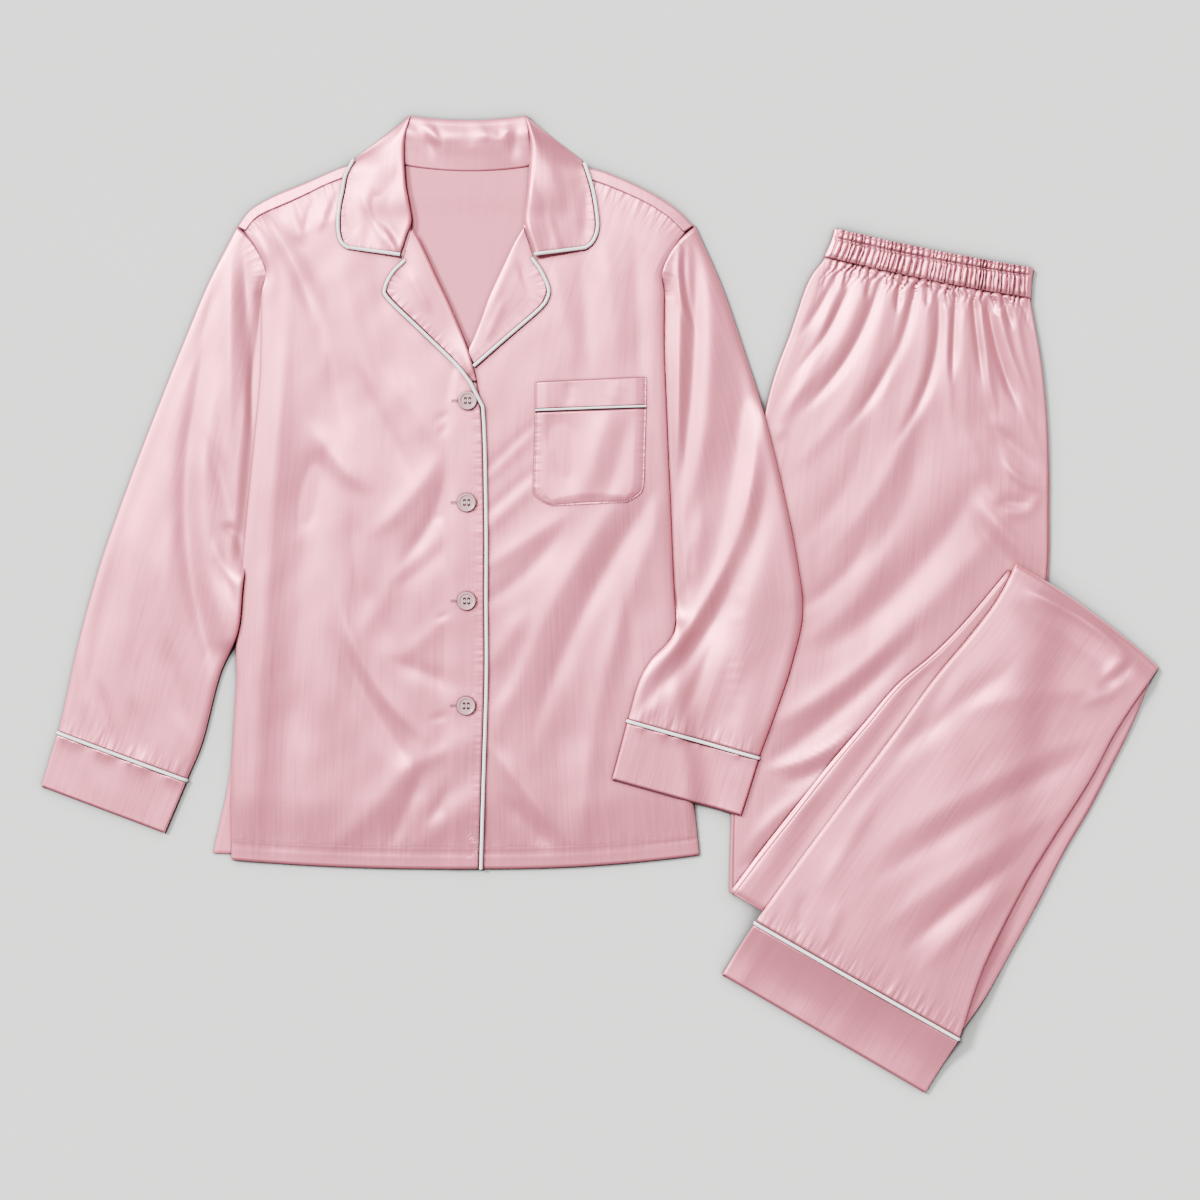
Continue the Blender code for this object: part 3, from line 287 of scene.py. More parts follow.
LEG_CUFF_CREASES = table(Crease,
    (166, -326, 138, -378, 9, 1.6), (214, -350, 190, -400, 18, -0.9), (262, -376, 240, -430, 12, 0.8),
    (286, -392, 262, -450, 14, -0.7), (336, -420, 312, -478, 14, 0.8),
)
LEAF_CREASES = table(Crease,
    (-200, 470, -236, 400, 10, 1.0, -4), (-193, 440, -232, 366, 9, -0.9, -3),
    (-236, 404, -206, 352, 5, 0.9, -2), (-226, 408, -200, 362, 5, -0.8, -2), (-214, 372, -202, 350, 3, 0.8),
    (-250, 400, -246, 372, 6, -0.6), (-70, 470, -40, 400, 10, 1.0, 4), (-64, 420, -46, 360, 8, -1.0, 3),
    (-30, 430, -22, 372, 10, 0.9), (-52, 392, -42, 352, 5, 0.9), (-14, 410, -16, 370, 6, -0.6),
)
LAPEL_CREASES = table(Crease,
    (-176, 360, -150, 290, 6, -0.6), (-190, 330, -172, 296, 5, 0.7), (-90, 352, -116, 290, 7, 0.9),
    (-80, 340, -70, 312, 4, -0.7), (-98, 300, -112, 268, 5, 0.6),
)
STAND_CREASES = table(Crease,
    (-190, 484, -168, 452, 6, -1.4, 3), (-178, 482, -162, 462, 5, 1.2, 2), (-168, 486, -158, 466, 4, -0.8),
    (-122, 484, -114, 466, 5, 0.9), (-134, 486, -128, 462, 8, -0.7), (-98, 484, -102, 468, 5, -1.0),
    (-90, 485, -94, 470, 4, 1.1), (-80, 482, -86, 448, 7, -1.5, -2),
)

FRONTS = {Side.RIGHT: FRONT_RIGHT, Side.LEFT: FRONT_LEFT}
LAPELS = {Side.RIGHT: LAPEL_RIGHT, Side.LEFT: LAPEL_LEFT}
LEAVES = {Side.RIGHT: LEAF_RIGHT, Side.LEFT: LEAF_LEFT}
SLEEVES = {Side.RIGHT: SLEEVE_RIGHT, Side.LEFT: SLEEVE_LEFT}
CUFFS = {Side.RIGHT: CUFF_RIGHT, Side.LEFT: CUFF_LEFT}


def smoothstep(value: Array) -> Array:
    """Ease from 0 to 1 as value goes from 0 to 1."""
    value = np.clip(value, 0.0, 1.0)
    return value * value * (3.0 - 2.0 * value)


def bell(distance: Array, width: float) -> Array:
    """1 at no distance, and 1/e at the width."""
    return np.exp(-((distance / width) ** 2))


def rounded(distance: Array, radius: float) -> Array:
    """Height, 0 to 1, of a quarter-round edge at a distance in from it."""
    part = 1.0 - np.clip(distance / radius, 0.0, 1.0)
    return np.sqrt(np.maximum(1.0 - part * part, 0.0))


def soft_max(a: Array, b: Array, blend: float) -> Array:
    """The larger of two heights, eased over a blend where they meet."""
    return 0.5 * (a + b + np.sqrt((a - b) ** 2 + blend * blend))


def unit(vectors: Array) -> Array:
    """The vectors at length 1."""
    return vectors / np.linalg.norm(vectors, axis=-1, keepdims=True)


def distances(line: Array) -> Array:
    """Distance of each point of a line from its start, along the line."""
    return np.concatenate([[0.0], np.cumsum(np.linalg.norm(np.diff(line, axis=0), axis=1))])


def moving_mean(values: Array, reach: int) -> Array:
    """Mean of each value and its neighbours, as many as reach to each side."""
    count = 2 * reach + 1
    return np.convolve(np.pad(values, reach, mode="edge"), np.ones(count) / count, mode="valid")


def bilinear(grid: Array, i: Array, j: Array) -> Array:
    """Values of a grid at places between its columns i and rows j."""
    i0 = np.clip(i.astype(int), 0, grid.shape[1] - 2)
    j0 = np.clip(j.astype(int), 0, grid.shape[0] - 2)
    a, b = i - i0, j - j0
    low = grid[j0, i0] * (1 - a) + grid[j0, i0 + 1] * a
    return low * (1 - b) + (grid[j0 + 1, i0] * (1 - a) + grid[j0 + 1, i0 + 1] * a) * b


def spline(values: Array, at: Array) -> Array:
    """Catmull-Rom curve through equally spaced rows of values.

    Args:
        values: One row for each point of the curve.
        at: Places from 0 to 1.

    Returns:
        One row for each place.
    """
    values = np.asarray(values, float)
    last = len(values) - 1
    place = np.clip(at, 0.0, 1.0) * last
    k = np.minimum(place.astype(int), last - 1)
    f = (place - k)[:, None]
    ends = np.vstack([2 * values[0] - values[1], values, 2 * values[-1] - values[-2]])
    p0, p1, p2, p3 = ends[k], ends[k + 1], ends[k + 2], ends[k + 3]
    return p1 + 0.5 * f * (p2 - p0 + f * (2 * p0 - 5 * p1 + 4 * p2 - p3 + f * (3 * (p1 - p2) + p3 - p0)))


def stations(length: float, step: float, fine_at: Sequence[float] = (), fine_step: float = 0.8 * MM,
             reach: float = 2.4 * MM) -> Array:
    """Places from 0 to 1 along a length, closer together near the fine places.

    Args:
        length: The length in metres.
        step: The usual distance between stations.
        fine_at: Distances from the start that need close stations.
        fine_step: The distance between close stations.
        reach: How far the close stations reach to each side.

    Returns:
        Ascending places.
    """
    beside, from_end = reach + 0.4 * fine_step, 0.3 * fine_step
    usual = np.linspace(0.0, length, max(3, round(length / step) + 1))
    for place in fine_at:
        usual = usual[(np.abs(usual - place) > beside) | (usual == 0.0) | (usual == length)]
        close = np.arange(place - reach, place + reach + 1e-9, fine_step)
        usual = np.union1d(usual, close[(close > from_end) & (close < length - from_end)])
    return usual / length


def route(places: Sequence[Pair], step: float) -> Array:
    """Points a step apart along a smooth line through places in millimetres."""
    rough = spline(np.array(places) * MM, np.linspace(0.0, 1.0, 40 * len(places)))
    run = distances(rough)
    even = np.linspace(0.0, run[-1], max(2, round(run[-1] / step) + 1))
    return np.stack([np.interp(even, run, rough[:, axis]) for axis in (0, 1)], axis=1)


class Plan:
    """The outline of a piece seen from above, smooth through its sections."""

    SAMPLES = np.linspace(0.0, 1.0, 60)

    def __init__(self, sections: Sequence[Section], right_inset: float = 0.0) -> None:
        """Start an outline whose right edge may lie inside that of its sections."""
        self.sections = np.array(sections, float) * MM
        self.right_inset = right_inset

    def ends(self, v: Array) -> tuple[Array, Array, Array]:
        """Left end, right end and bow of each station in v."""
        rows = spline(self.sections, v)
        left, right = rows[:, 0:2], rows[:, 2:4]
        return left, right - unit(right - left) * self.right_inset, rows[:, 4]

    def width(self, v: Array) -> Array:
        """Length of each station in v."""
        left, right, _bow = self.ends(v)
        return np.linalg.norm(right - left, axis=1)

    def at(self, u: Array, v: Array) -> Array:
        """Places on the piece.

        Args:
            u: Shares across, from the left end to the right end: one row, or a row for each station.
            v: Stations, from 0 to 1.

        Returns:
            One row of places for each station.
        """
        left, right, bow = self.ends(v)
        chord = right - left
        side = unit(np.stack([-chord[:, 1], chord[:, 0]], axis=1))
        u = np.broadcast_to(u, (len(v), np.shape(u)[-1]))[..., None]
        bowed = side[:, None] * (bow[:, None, None] * 4.0 * u * (1.0 - u))
        return left[:, None] + chord[:, None] * u + bowed

    @property
    def length(self) -> float:
        """Length along the middle."""
        line = self.at(np.array([0.5]), self.SAMPLES)[:, 0]
        return float(np.linalg.norm(np.diff(line, axis=0), axis=1).sum())

    @property
    def mean_width(self) -> float:
        """Mean length of the stations."""
        return float(self.width(self.SAMPLES).mean())

    def edge(self, u: float, step: float, low: float = 0.0, high: float = 1.0) -> Array:
        """Points a step apart along the piece at one share across, from low to high."""
        count = max(2, round(self.length * (high - low) / step) + 1)
        return self.at(np.array([u]), np.linspace(low, high, count))[:, 0]

    def station(self, v: float, count: int, low: float = 0.0, high: float = 1.0) -> Array:
        """That many points along one station, from low to high."""
        return self.at(np.linspace(low, high, count), np.array([v]))[0]


class BackPlan(Plan):
    """The back's outline: its sections, then the shoulder and neck line."""

    SHOULDER_START = 0.8

    def at(self, u: Array, v: Array) -> Array:
        """Places on the back, as for any piece."""
        low = super().at(u, np.minimum(v / self.SHOULDER_START, 1.0))
        share = np.clip((v - self.SHOULDER_START) / (1.0 - self.SHOULDER_START), 0.0, 1.0)[:, None, None]
        line = spline(np.array(SHOULDER_LINE) * MM, np.ravel(u))[None]
        return low * (1.0 - share) + line * share


class Stack:
    """Height map of all that has been laid so far."""

    CELL = 1.0 * MM
    LOW = np.array([-0.6, -0.53])
    SHAPE = (1060, 1200)
    FILL = 0.7 * CELL
    USUAL = 90

    def __init__(self) -> None:
        """Start with the bare surface."""
        self.height = np.zeros(self.SHAPE)
        self.widened: dict[int, Array] = {}

    def add(self, points: Array) -> None:
        """Lay a grid of surface points on top of what is there, filled in where they are sparse."""
        for axis in (0, 1):
            gaps = np.linalg.norm(np.diff(points[..., :2], axis=axis), axis=-1)
            parts = max(1, int(math.ceil(np.percentile(gaps, self.USUAL) / self.FILL)))
            low, high = (points[:-1], points[1:]) if axis == 0 else (points[:, :-1], points[:, 1:])
            between = [low + (high - low) * (k / parts) for k in range(parts)]
            last = points[-1:] if axis == 0 else points[:, -1:]
            points = np.concatenate([np.concatenate(between, axis=axis), last], axis=axis)
        cells = np.round((points[..., :2] - self.LOW) / self.CELL).astype(int).reshape(-1, 2)
        cells = np.clip(cells, 0, np.array(self.SHAPE[::-1]) - 1)
        np.maximum.at(self.height, (cells[:, 1], cells[:, 0]), points[..., 2].ravel())
        self.widened.clear()

    def top(self, x: Array, y: Array, reach: int = 2) -> Array:
        """Greatest height within reach cells of each place, 0 on the bare surface."""
        if reach not in self.widened:
            wide = self.height
            for axis in (0, 1):
                wide = np.max([np.roll(wide, shift, axis) for shift in range(-reach, reach + 1)], axis=0)
            self.widened[reach] = wide
        i, j = ((np.asarray(place) - low) / self.CELL for place, low in zip((x, y), self.LOW))
        return bilinear(self.widened[reach], i, j)


STACK = Stack()


@dataclass
class Lie:
    """Underside heights of a piece laid on the stack: it spans hollows and sags."""

    plan: Plan
    gap: float  # clearance over what it rests on
    rounds: int = 150
    sag: float = 0.036 * MM  # drop of a span for each step
    soft: int = 6  # rounds of smoothing after that
    start: "Lie | None" = None  # the piece that this one hangs on from
    clear: PlaceRule | None = None  # where, by share across and place, it goes down beside what is there

    STEP = 3.0 * MM
    BESIDE = 0.15

    def __post_init__(self) -> None:
        """Lay the piece on what is there."""
        self.u = np.linspace(0.0, 1.0, max(6, round(self.plan.mean_width / self.STEP)))
        self.v = np.linspace(0.0, 1.0, max(4, round(self.plan.length / self.STEP)))
        places = self.plan.at(self.u, self.v)
        floor = STACK.top(places[..., 0], places[..., 1])
        floor = np.where(floor > 0.0, floor + self.gap, 0.0)
        if self.clear is not None:
            floor = np.where(self.clear(self.u[None], places) > self.BESIDE, 0.0, floor)
        height = floor.copy()
        first = None
        if self.start is not None:
            first = np.maximum(self.start.at(self.u[None], np.array([1.0]))[0], floor[0])
        for k in range(self.rounds + self.soft):
            if first is not None:
                height[0] = first
            wide = np.pad(height, 1, mode="edge")
            mean = (wide[:-2, 1:-1] + wide[2:, 1:-1] + wide[1:-1, :-2] + wide[1:-1, 2:]) / 4.0
            height = np.maximum(floor, mean - self.sag) if k < self.rounds else 0.5 * (height + mean)
        self.height = np.maximum(height, 0.0)

    def at(self, u: Array, v: Array) -> Array:
        """Heights for u, one row of shares for each station in v."""
        u = np.broadcast_to(u, (len(v), np.shape(u)[-1]))
        i = np.clip(u, 0.0, 1.0) * (len(self.u) - 1)
        j = np.clip(np.asarray(v, float)[:, None], 0.0, 1.0) * (len(self.v) - 1)
        return bilinear(self.height, i, j)


@dataclass(frozen=True)
class CreaseShape:
    """What all creases share."""

    overrun: float = 0.28  # how far it runs on past each end, as a share
    fade: float = 0.55
    tip: float = 0.65  # share of its width that is left at its tips
    power: float = 1.8  # 2 for a bell
    turn: float = 0.3  # share of its width over which a lean goes from side to side

    def height(self, x: Array, y: Array, creases: Sequence[Crease]) -> Array:
        """Height of all the creases at each place, in metres."""
        total = np.zeros(np.shape(x))
        for crease in creases:
            start = np.array([crease.x0, crease.y0]) * MM
            run = np.array([crease.x1, crease.y1]) * MM - start
            length = np.hypot(*run)
            way = run / length
            dx, dy = x - start[0], y - start[1]
            part = (dx * way[0] + dy * way[1]) / length
            across = -dx * way[1] + dy * way[0] - crease.bow * MM * 4.0 * part * (1.0 - part)
            fade = smoothstep((part + self.overrun) / self.fade)
            fade *= smoothstep((1.0 + self.overrun - part) / self.fade)
            side = 1.0 + crease.lean * np.tanh(across / (self.turn * crease.width * MM))
            width = crease.width * MM * (self.tip + (1.0 - self.tip) * fade) * side
            total += crease.height * MM * fade * np.exp(-(np.abs(across / width) ** self.power))
        return total


CREASE_SHAPE = CreaseShape()


@dataclass(frozen=True)
class Undulation:
    """Slight unevenness of laid cloth, as a seeded sum of waves."""

    seed: int
    height: float = 0.22 * MM
    lengths: tuple[float, ...] = (0.040, 0.070, 0.120, 0.200)
    each: int = 3
    spread: float = 0.9  # of their directions from X, in radians
    jitter: Pair = (0.8, 1.25)  # of their lengths
    bend: float = 0.9  # how much they snake
    snake: float = 0.37  # its frequency beside the wave's
    full: float = 0.05  # the length of a wave that has the whole height

    def at(self, x: Array, y: Array) -> Array:
        """Height at each place."""
        chance = np.random.default_rng(self.seed)
        total = np.zeros(np.shape(x))
        for length in self.lengths:
            for _k in range(self.each):
                angle, phase = chance.uniform(-self.spread, self.spread), chance.uniform(0, math.tau)
                wave = math.tau / (length * chance.uniform(*self.jitter))
                across = x * math.sin(angle) - y * math.cos(angle)
                bend = self.bend * np.sin(wave * self.snake * across + phase)
                along = x * math.cos(angle) + y * math.sin(angle)
                total += np.sin(wave * along + phase + bend) * (length / self.full)
        return total * self.height / len(self.lengths)


@dataclass
class SeamLine:
    """A seam that puckers the cloth beside it."""

    points: Array
    strength: float = 1.0  # of the puckers, 0 to 1
    reach: float = 12 * MM
    seed: int = 1
    spacing: float = 9 * MM  # mean distance between the larger ones
    depth: float = 0.35 * MM

    LENGTHS = (0.6, 1.6)
    WIDTHS = (1.6, 3.0)
    HEIGHTS = (0.4, 1.2)
    RIDGE_OR_HOLLOW = [1.0, -0.6]
    GAPS = (0.5, 1.6)
    HELD = 1.5 * MM

    def __post_init__(self) -> None:
        """Measure the seam."""
        self.run = distances(self.points)

    def near(self, x: Array, y: Array) -> tuple[Array, Array]:
        """Distance along the seam and away from it, for each place."""
        best = np.full(np.shape(x), 1.0)
        along = np.zeros(np.shape(x))
        for k, (a, b) in enumerate(zip(self.points[:-1], self.points[1:])):
            run = b - a
            square = float(run @ run) or 1e-12
            part = np.clip(((x - a[0]) * run[0] + (y - a[1]) * run[1]) / square, 0.0, 1.0)
            away = np.hypot(x - a[0] - run[0] * part, y - a[1] - run[1] * part)
            closer = away < best
            best = np.where(closer, away, best)
            along = np.where(closer, self.run[k] + part * math.sqrt(square), along)
        return along, best

    def puckers(self, along: Array, away: Array) -> Array:
        """Height of the larger puckers, for each distance along the seam and away from it."""
        chance = np.random.default_rng(self.seed)
        total = np.zeros(np.shape(along))
        place = chance.uniform(0, self.spacing)
        while place < self.run[-1]:
            length = self.reach * chance.uniform(*self.LENGTHS)
            width = chance.uniform(*self.WIDTHS) * MM
            height = self.depth * chance.uniform(*self.HEIGHTS) * chance.choice(self.RIDGE_OR_HOLLOW)
            total += height * (bell(along - place, width) * bell(away, length))
            place += self.spacing * chance.uniform(*self.GAPS)
        return total * self.strength * smoothstep(away / self.HELD)


def seam_attribute(x: Array, y: Array, seams: Sequence[SeamLine]) -> tuple[Array, Array]:
    """The seam attribute (along, away, strength) and the height of the larger puckers, at each place."""
    value = np.zeros((*np.shape(x), 3))
    height = np.zeros(np.shape(x))
    for number, seam in enumerate(seams):
        along, away = seam.near(x, y)
        strength = seam.strength * bell(away, seam.reach)
        height += seam.puckers(along, away)
        stronger = strength > value[..., 2]
        for axis, part in enumerate((along + 0.7 * number, away, strength)):
            value[..., axis] = np.where(stronger, part, value[..., axis])
    return value, height


class NodeSheet:
    """The nodes of one material."""

    NOISE_RANGE = (0.3, 0.7)

    def __init__(self, name: str) -> None:
        """Start the material of this name."""
        self.material = bpy.data.materials.new(name)
        self.material.use_nodes = True
        self.tree = self.material.node_tree
        self.shader = self.tree.nodes["Principled BSDF"]

    def add(self, kind: str, inputs: dict | None = None, **settings) -> bpy.types.Node:
        """Add a node of this kind, with values or links for its inputs."""
        node = self.tree.nodes.new(kind)
        for name, value in settings.items():
            setattr(node, name, value)
        for name, value in (inputs or {}).items():
            self.give(node, name, value)
        return node

    def give(self, node: bpy.types.Node, name: str | int, value: Socket | Triple | float) -> None:
        """Set an input to a value, or link it to another node's output."""
        if isinstance(value, Socket):
            self.tree.links.new(value, node.inputs[name])
        else:
            node.inputs[name].default_value = value

    def noise(self, vector: Socket, scale: Triple, detail: float = 2.0) -> Socket:
        """Noise over a scaled vector."""
        mapped = self.add("ShaderNodeMapping", {"Vector": vector, "Scale": scale})
        made = self.add("ShaderNodeTexNoise", {"Vector": mapped.outputs[0], "Scale": 1.0, "Detail": detail})
        return made.outputs["Fac"]

    def ramp(self, value: Socket, to_low: float, to_high: float, between: Pair = NOISE_RANGE) -> Socket:
        """Map a value, by default a noise, from its own range to low and high."""
        inputs = {"From Min": between[0], "From Max": between[1], "To Min": to_low, "To Max": to_high}
        return self.add("ShaderNodeMapRange", {"Value": value, **inputs}).outputs[0]

    def times(self, a: Socket, b: Socket) -> Socket:
        """Product of two values."""
        return self.add("ShaderNodeMath", {0: a, 1: b}, operation="MULTIPLY").outputs[0]

    def tinted(self, colour: Triple, share: Socket) -> Socket:
        """A colour, lighter or darker by a share."""
        return self.add("ShaderNodeVectorMath", {0: colour, "Scale": share}, operation="SCALE").outputs[0]

    def mixed(self, share: Socket, low: Socket | Triple, high: Socket | Triple) -> Socket:
        """A colour that goes from low to high as the share goes from 0 to 1."""
        made = self.add("ShaderNodeMix", data_type="RGBA")
        for name, value in zip(("Factor", "A", "B"), (share, low, high)):
            socket = next(each for each in made.inputs if each.name == name and each.enabled)
            if isinstance(value, Socket):
                self.tree.links.new(value, socket)
            else:
                socket.default_value = (*value, 1.0)
        return next(each for each in made.outputs if each.enabled)

    def painted_shade_mask(self, distance: float, closed: float, open_from: float) -> Socket:
        """Mask for painted shade: 0 in gaps and under edges, where the open share within a distance is
        closed, 1 from open_from.
        """
        made = self.add("ShaderNodeAmbientOcclusion", {"Distance": distance}, samples=8)
        return self.ramp(made.outputs["AO"], 0.0, 1.0, (closed, open_from))

    def bump(self, height: Socket, distance: float, strength: float, below: Socket | None = None) -> Socket:
        """A bump, on another one below."""
        made = self.add("ShaderNodeBump", {"Height": height, "Distance": distance, "Strength": strength})
        if below is not None:
            self.give(made, "Normal", below)
        return made.outputs[0]

    def finish(self, **inputs: Socket | Triple | float) -> Material:
        """Set the shader's inputs and return the material."""
        for name, value in inputs.items():
            self.give(self.shader, name.replace("_", " "), value)
        return self.material


@dataclass(frozen=True)
class ClothLook:
    """How one side of the cloth looks."""

    name: str
    colour: Triple
    roughness: float
    anisotropy: float  # stretch of its highlights across the threads
    sheen: float
    weave: float
    specular: float = 0.5
    lustre: float = 0.0  # how far its reflections take its own colour

    STREAKS = (480.0, 13.0, 1.0)  # marks in a metre
    WEFTS = (16.0, 430.0, 1.0)
    THREADS = (620.0, 900.0, 1.0)
    CRUMPLE = (75.0, 9.0, 1.0)
    PUCKERS = (150.0, 24.0, 0.0)
    CLOUDS = (9.0, 9.0, 9.0)
    PUCKER_RANGE = (0.25, 0.75)
    # Painted shade: for each, the reach of the ambient occlusion, where its shade is full and where it
    # starts, and the dark colour that the cloth is mixed to; the first darkens creases, gaps and undersides,
    # the second paints thin dark lines along the edges of pieces.
    PAINTED_SHADES = (
        (9 * MM, 0.48, 0.95, (0.20, 0.110, 0.112)),
        (3.2 * MM, 0.55, 0.92, (0.05, 0.015, 0.018)),
    )
    ROUGHER, SMOOTHER = 0.04, 0.03
    SHEEN_ROUGHNESS = 0.35
    THREAD_BUMP = 0.05 * MM
    CRUMPLE_BUMP = (0.35 * MM, 0.6)
    PUCKER_BUMP = (0.5 * MM, 0.8)

    def make(self) -> Material:
        """The material, with streaks along the threads, a fine weave, puckers beside seams, and painted
        shade in creases, gaps and under edges.
        """
        sheet = NodeSheet(self.name)
        uv = sheet.add("ShaderNodeTexCoord").outputs["UV"]
        place = sheet.add("ShaderNodeTexCoord").outputs["Object"]
        streaks = sheet.noise(uv, self.STREAKS, 3.0)
        wefts = sheet.noise(uv, self.WEFTS)
        threads = sheet.noise(uv, self.THREADS)
        clouds = sheet.noise(place, self.CLOUDS, 3.0)
        crumple = sheet.noise(uv, self.CRUMPLE)
        shade = sheet.times(sheet.ramp(streaks, 0.965, 1.03), sheet.ramp(clouds, 0.97, 1.03))
        shade = sheet.times(shade, sheet.ramp(wefts, 0.98, 1.02))
        colour = sheet.tinted(self.colour, shade)
        # Painted shade: the colour goes dark in creases, gaps and under edges.
        for reach, closed, open_from, dark in self.PAINTED_SHADES:
            colour = sheet.mixed(sheet.painted_shade_mask(reach, closed, open_from), dark, colour)
        rough = sheet.ramp(streaks, self.roughness - self.SMOOTHER, self.roughness + self.ROUGHER)
        seam = sheet.add("ShaderNodeAttribute", attribute_name="seam").outputs["Vector"]
        strength = sheet.add("ShaderNodeSeparateXYZ", {0: seam}).outputs["Z"]
        puckers = sheet.ramp(sheet.noise(seam, self.PUCKERS, 1.0), -1.0, 1.0, self.PUCKER_RANGE)
        normal = sheet.bump(threads, self.THREAD_BUMP, self.weave)
        normal = sheet.bump(crumple, *self.CRUMPLE_BUMP, normal)
        normal = sheet.bump(sheet.times(puckers, strength), *self.PUCKER_BUMP, normal)
        tangent = sheet.add("ShaderNodeTangent", direction_type="UV_MAP", uv_map="cloth")
        return sheet.finish(
            Base_Color=colour, Roughness=rough, Anisotropic=self.anisotropy, Metallic=self.lustre,
            Tangent=tangent.outputs[0], Sheen_Weight=self.sheen, Sheen_Roughness=self.SHEEN_ROUGHNESS,
            Specular_IOR_Level=self.specular, Normal=normal)


@dataclass(frozen=True)
class PlainLook:
    """A trim's look: a colour, slight mottling, painted shade in narrow gaps and under edges, and a fine
    bump.
    """

    name: str
    colour: Triple
    roughness: float
    grain: float  # bumps in a metre
    bump: float
    mottling: float = 0.03
    shade: Triple = (0.30, 0.24, 0.235)  # colour of the painted shade in narrow gaps and under edges
    reach: float = 3 * MM  # of the shade
    open_from: float = 0.92  # where the shading starts
    closed: float = 0.2  # where it is full

    MOTTLE_GRAIN = 0.08
    ROUGH_SPREAD = 0.04
    BUMP_STRENGTH = 0.6

    def make(self) -> Material:
        """The material."""
        sheet = NodeSheet(self.name)
        place = sheet.add("ShaderNodeTexCoord").outputs["Object"]
        fine = sheet.noise(place, (self.grain,) * 3)
        broad = sheet.noise(place, (self.grain * self.MOTTLE_GRAIN,) * 3)
        colour = sheet.tinted(self.colour, sheet.ramp(broad, 1.0 - self.mottling, 1.0 + self.mottling))
        # Painted shade: the colour goes towards the shade colour in narrow gaps and under edges.
        colour = sheet.mixed(sheet.painted_shade_mask(self.reach, self.closed, self.open_from), self.shade, colour)
        rough = sheet.ramp(fine, self.roughness - self.ROUGH_SPREAD, self.roughness + self.ROUGH_SPREAD)
        normal = sheet.bump(fine, self.bump, self.BUMP_STRENGTH)
        return sheet.finish(Base_Color=colour, Roughness=rough, Normal=normal)


class Finishes:
    """All the materials of the set."""

    def __init__(self) -> None:
        """Make the materials."""
        self.satin = ClothLook(
            "satin", (1.0, 0.275, 0.375), roughness=0.40, anisotropy=0.35, sheen=0.05, weave=0.5,
            specular=0.7, lustre=0.65).make()
        self.reverse = ClothLook(
            "satin_reverse", (0.90, 0.245, 0.335), roughness=0.60, anisotropy=0.10, sheen=0.06, weave=0.7,
            specular=0.3).make()
        # Piping: painted shade beside the cord, where it lies against the cloth.
        self.piping = PlainLook(
            "piping", (1.0, 0.995, 0.985), roughness=0.36, grain=1800.0, bump=0.05 * MM, mottling=0.0,
            shade=(0.30, 0.26, 0.26), reach=1.0 * MM, open_from=0.3, closed=0.05).make()
        # Button: painted shade, nearly black, in its holes and round its rim.
        self.shell = PlainLook(
            "button", (0.56, 0.31, 0.33), roughness=0.28, grain=160.0, bump=0.02 * MM, mottling=0.08,
            shade=(0.03, 0.012, 0.014), reach=2.0 * MM, open_from=0.88, closed=0.3).make()
        # Floor: painted contact shadow, dark grey within 26 mm of the set's edges.
        self.floor = PlainLook(
            "floor", (0.72, 0.72, 0.705), roughness=0.9, grain=60.0, bump=0.02 * MM, mottling=0.008,
            shade=(0.10, 0.10, 0.10), reach=26 * MM, open_from=0.99, closed=0.52).make()
        self.thread = PlainLook("thread", (0.60, 0.23, 0.29), 0.5, 2400.0, 0.05 * MM).make()
        self.pale_thread = PlainLook("pale_thread", (0.90, 0.80, 0.79), 0.5, 2400.0, 0.05 * MM).make()
        # Buttonhole slits: a dark strip of painted shadow where the slit's opening is in shade.
        self.slit_shadow = PlainLook("slit_shadow", (0.16, 0.06, 0.07), 0.8, 900.0, 0.02 * MM).make()


def put(name: str, data: bpy.types.ID) -> Piece:
    """A new object of this data in the scene."""
    obj = bpy.data.objects.new(name, data)
    bpy.context.scene.collection.objects.link(obj)
    return obj


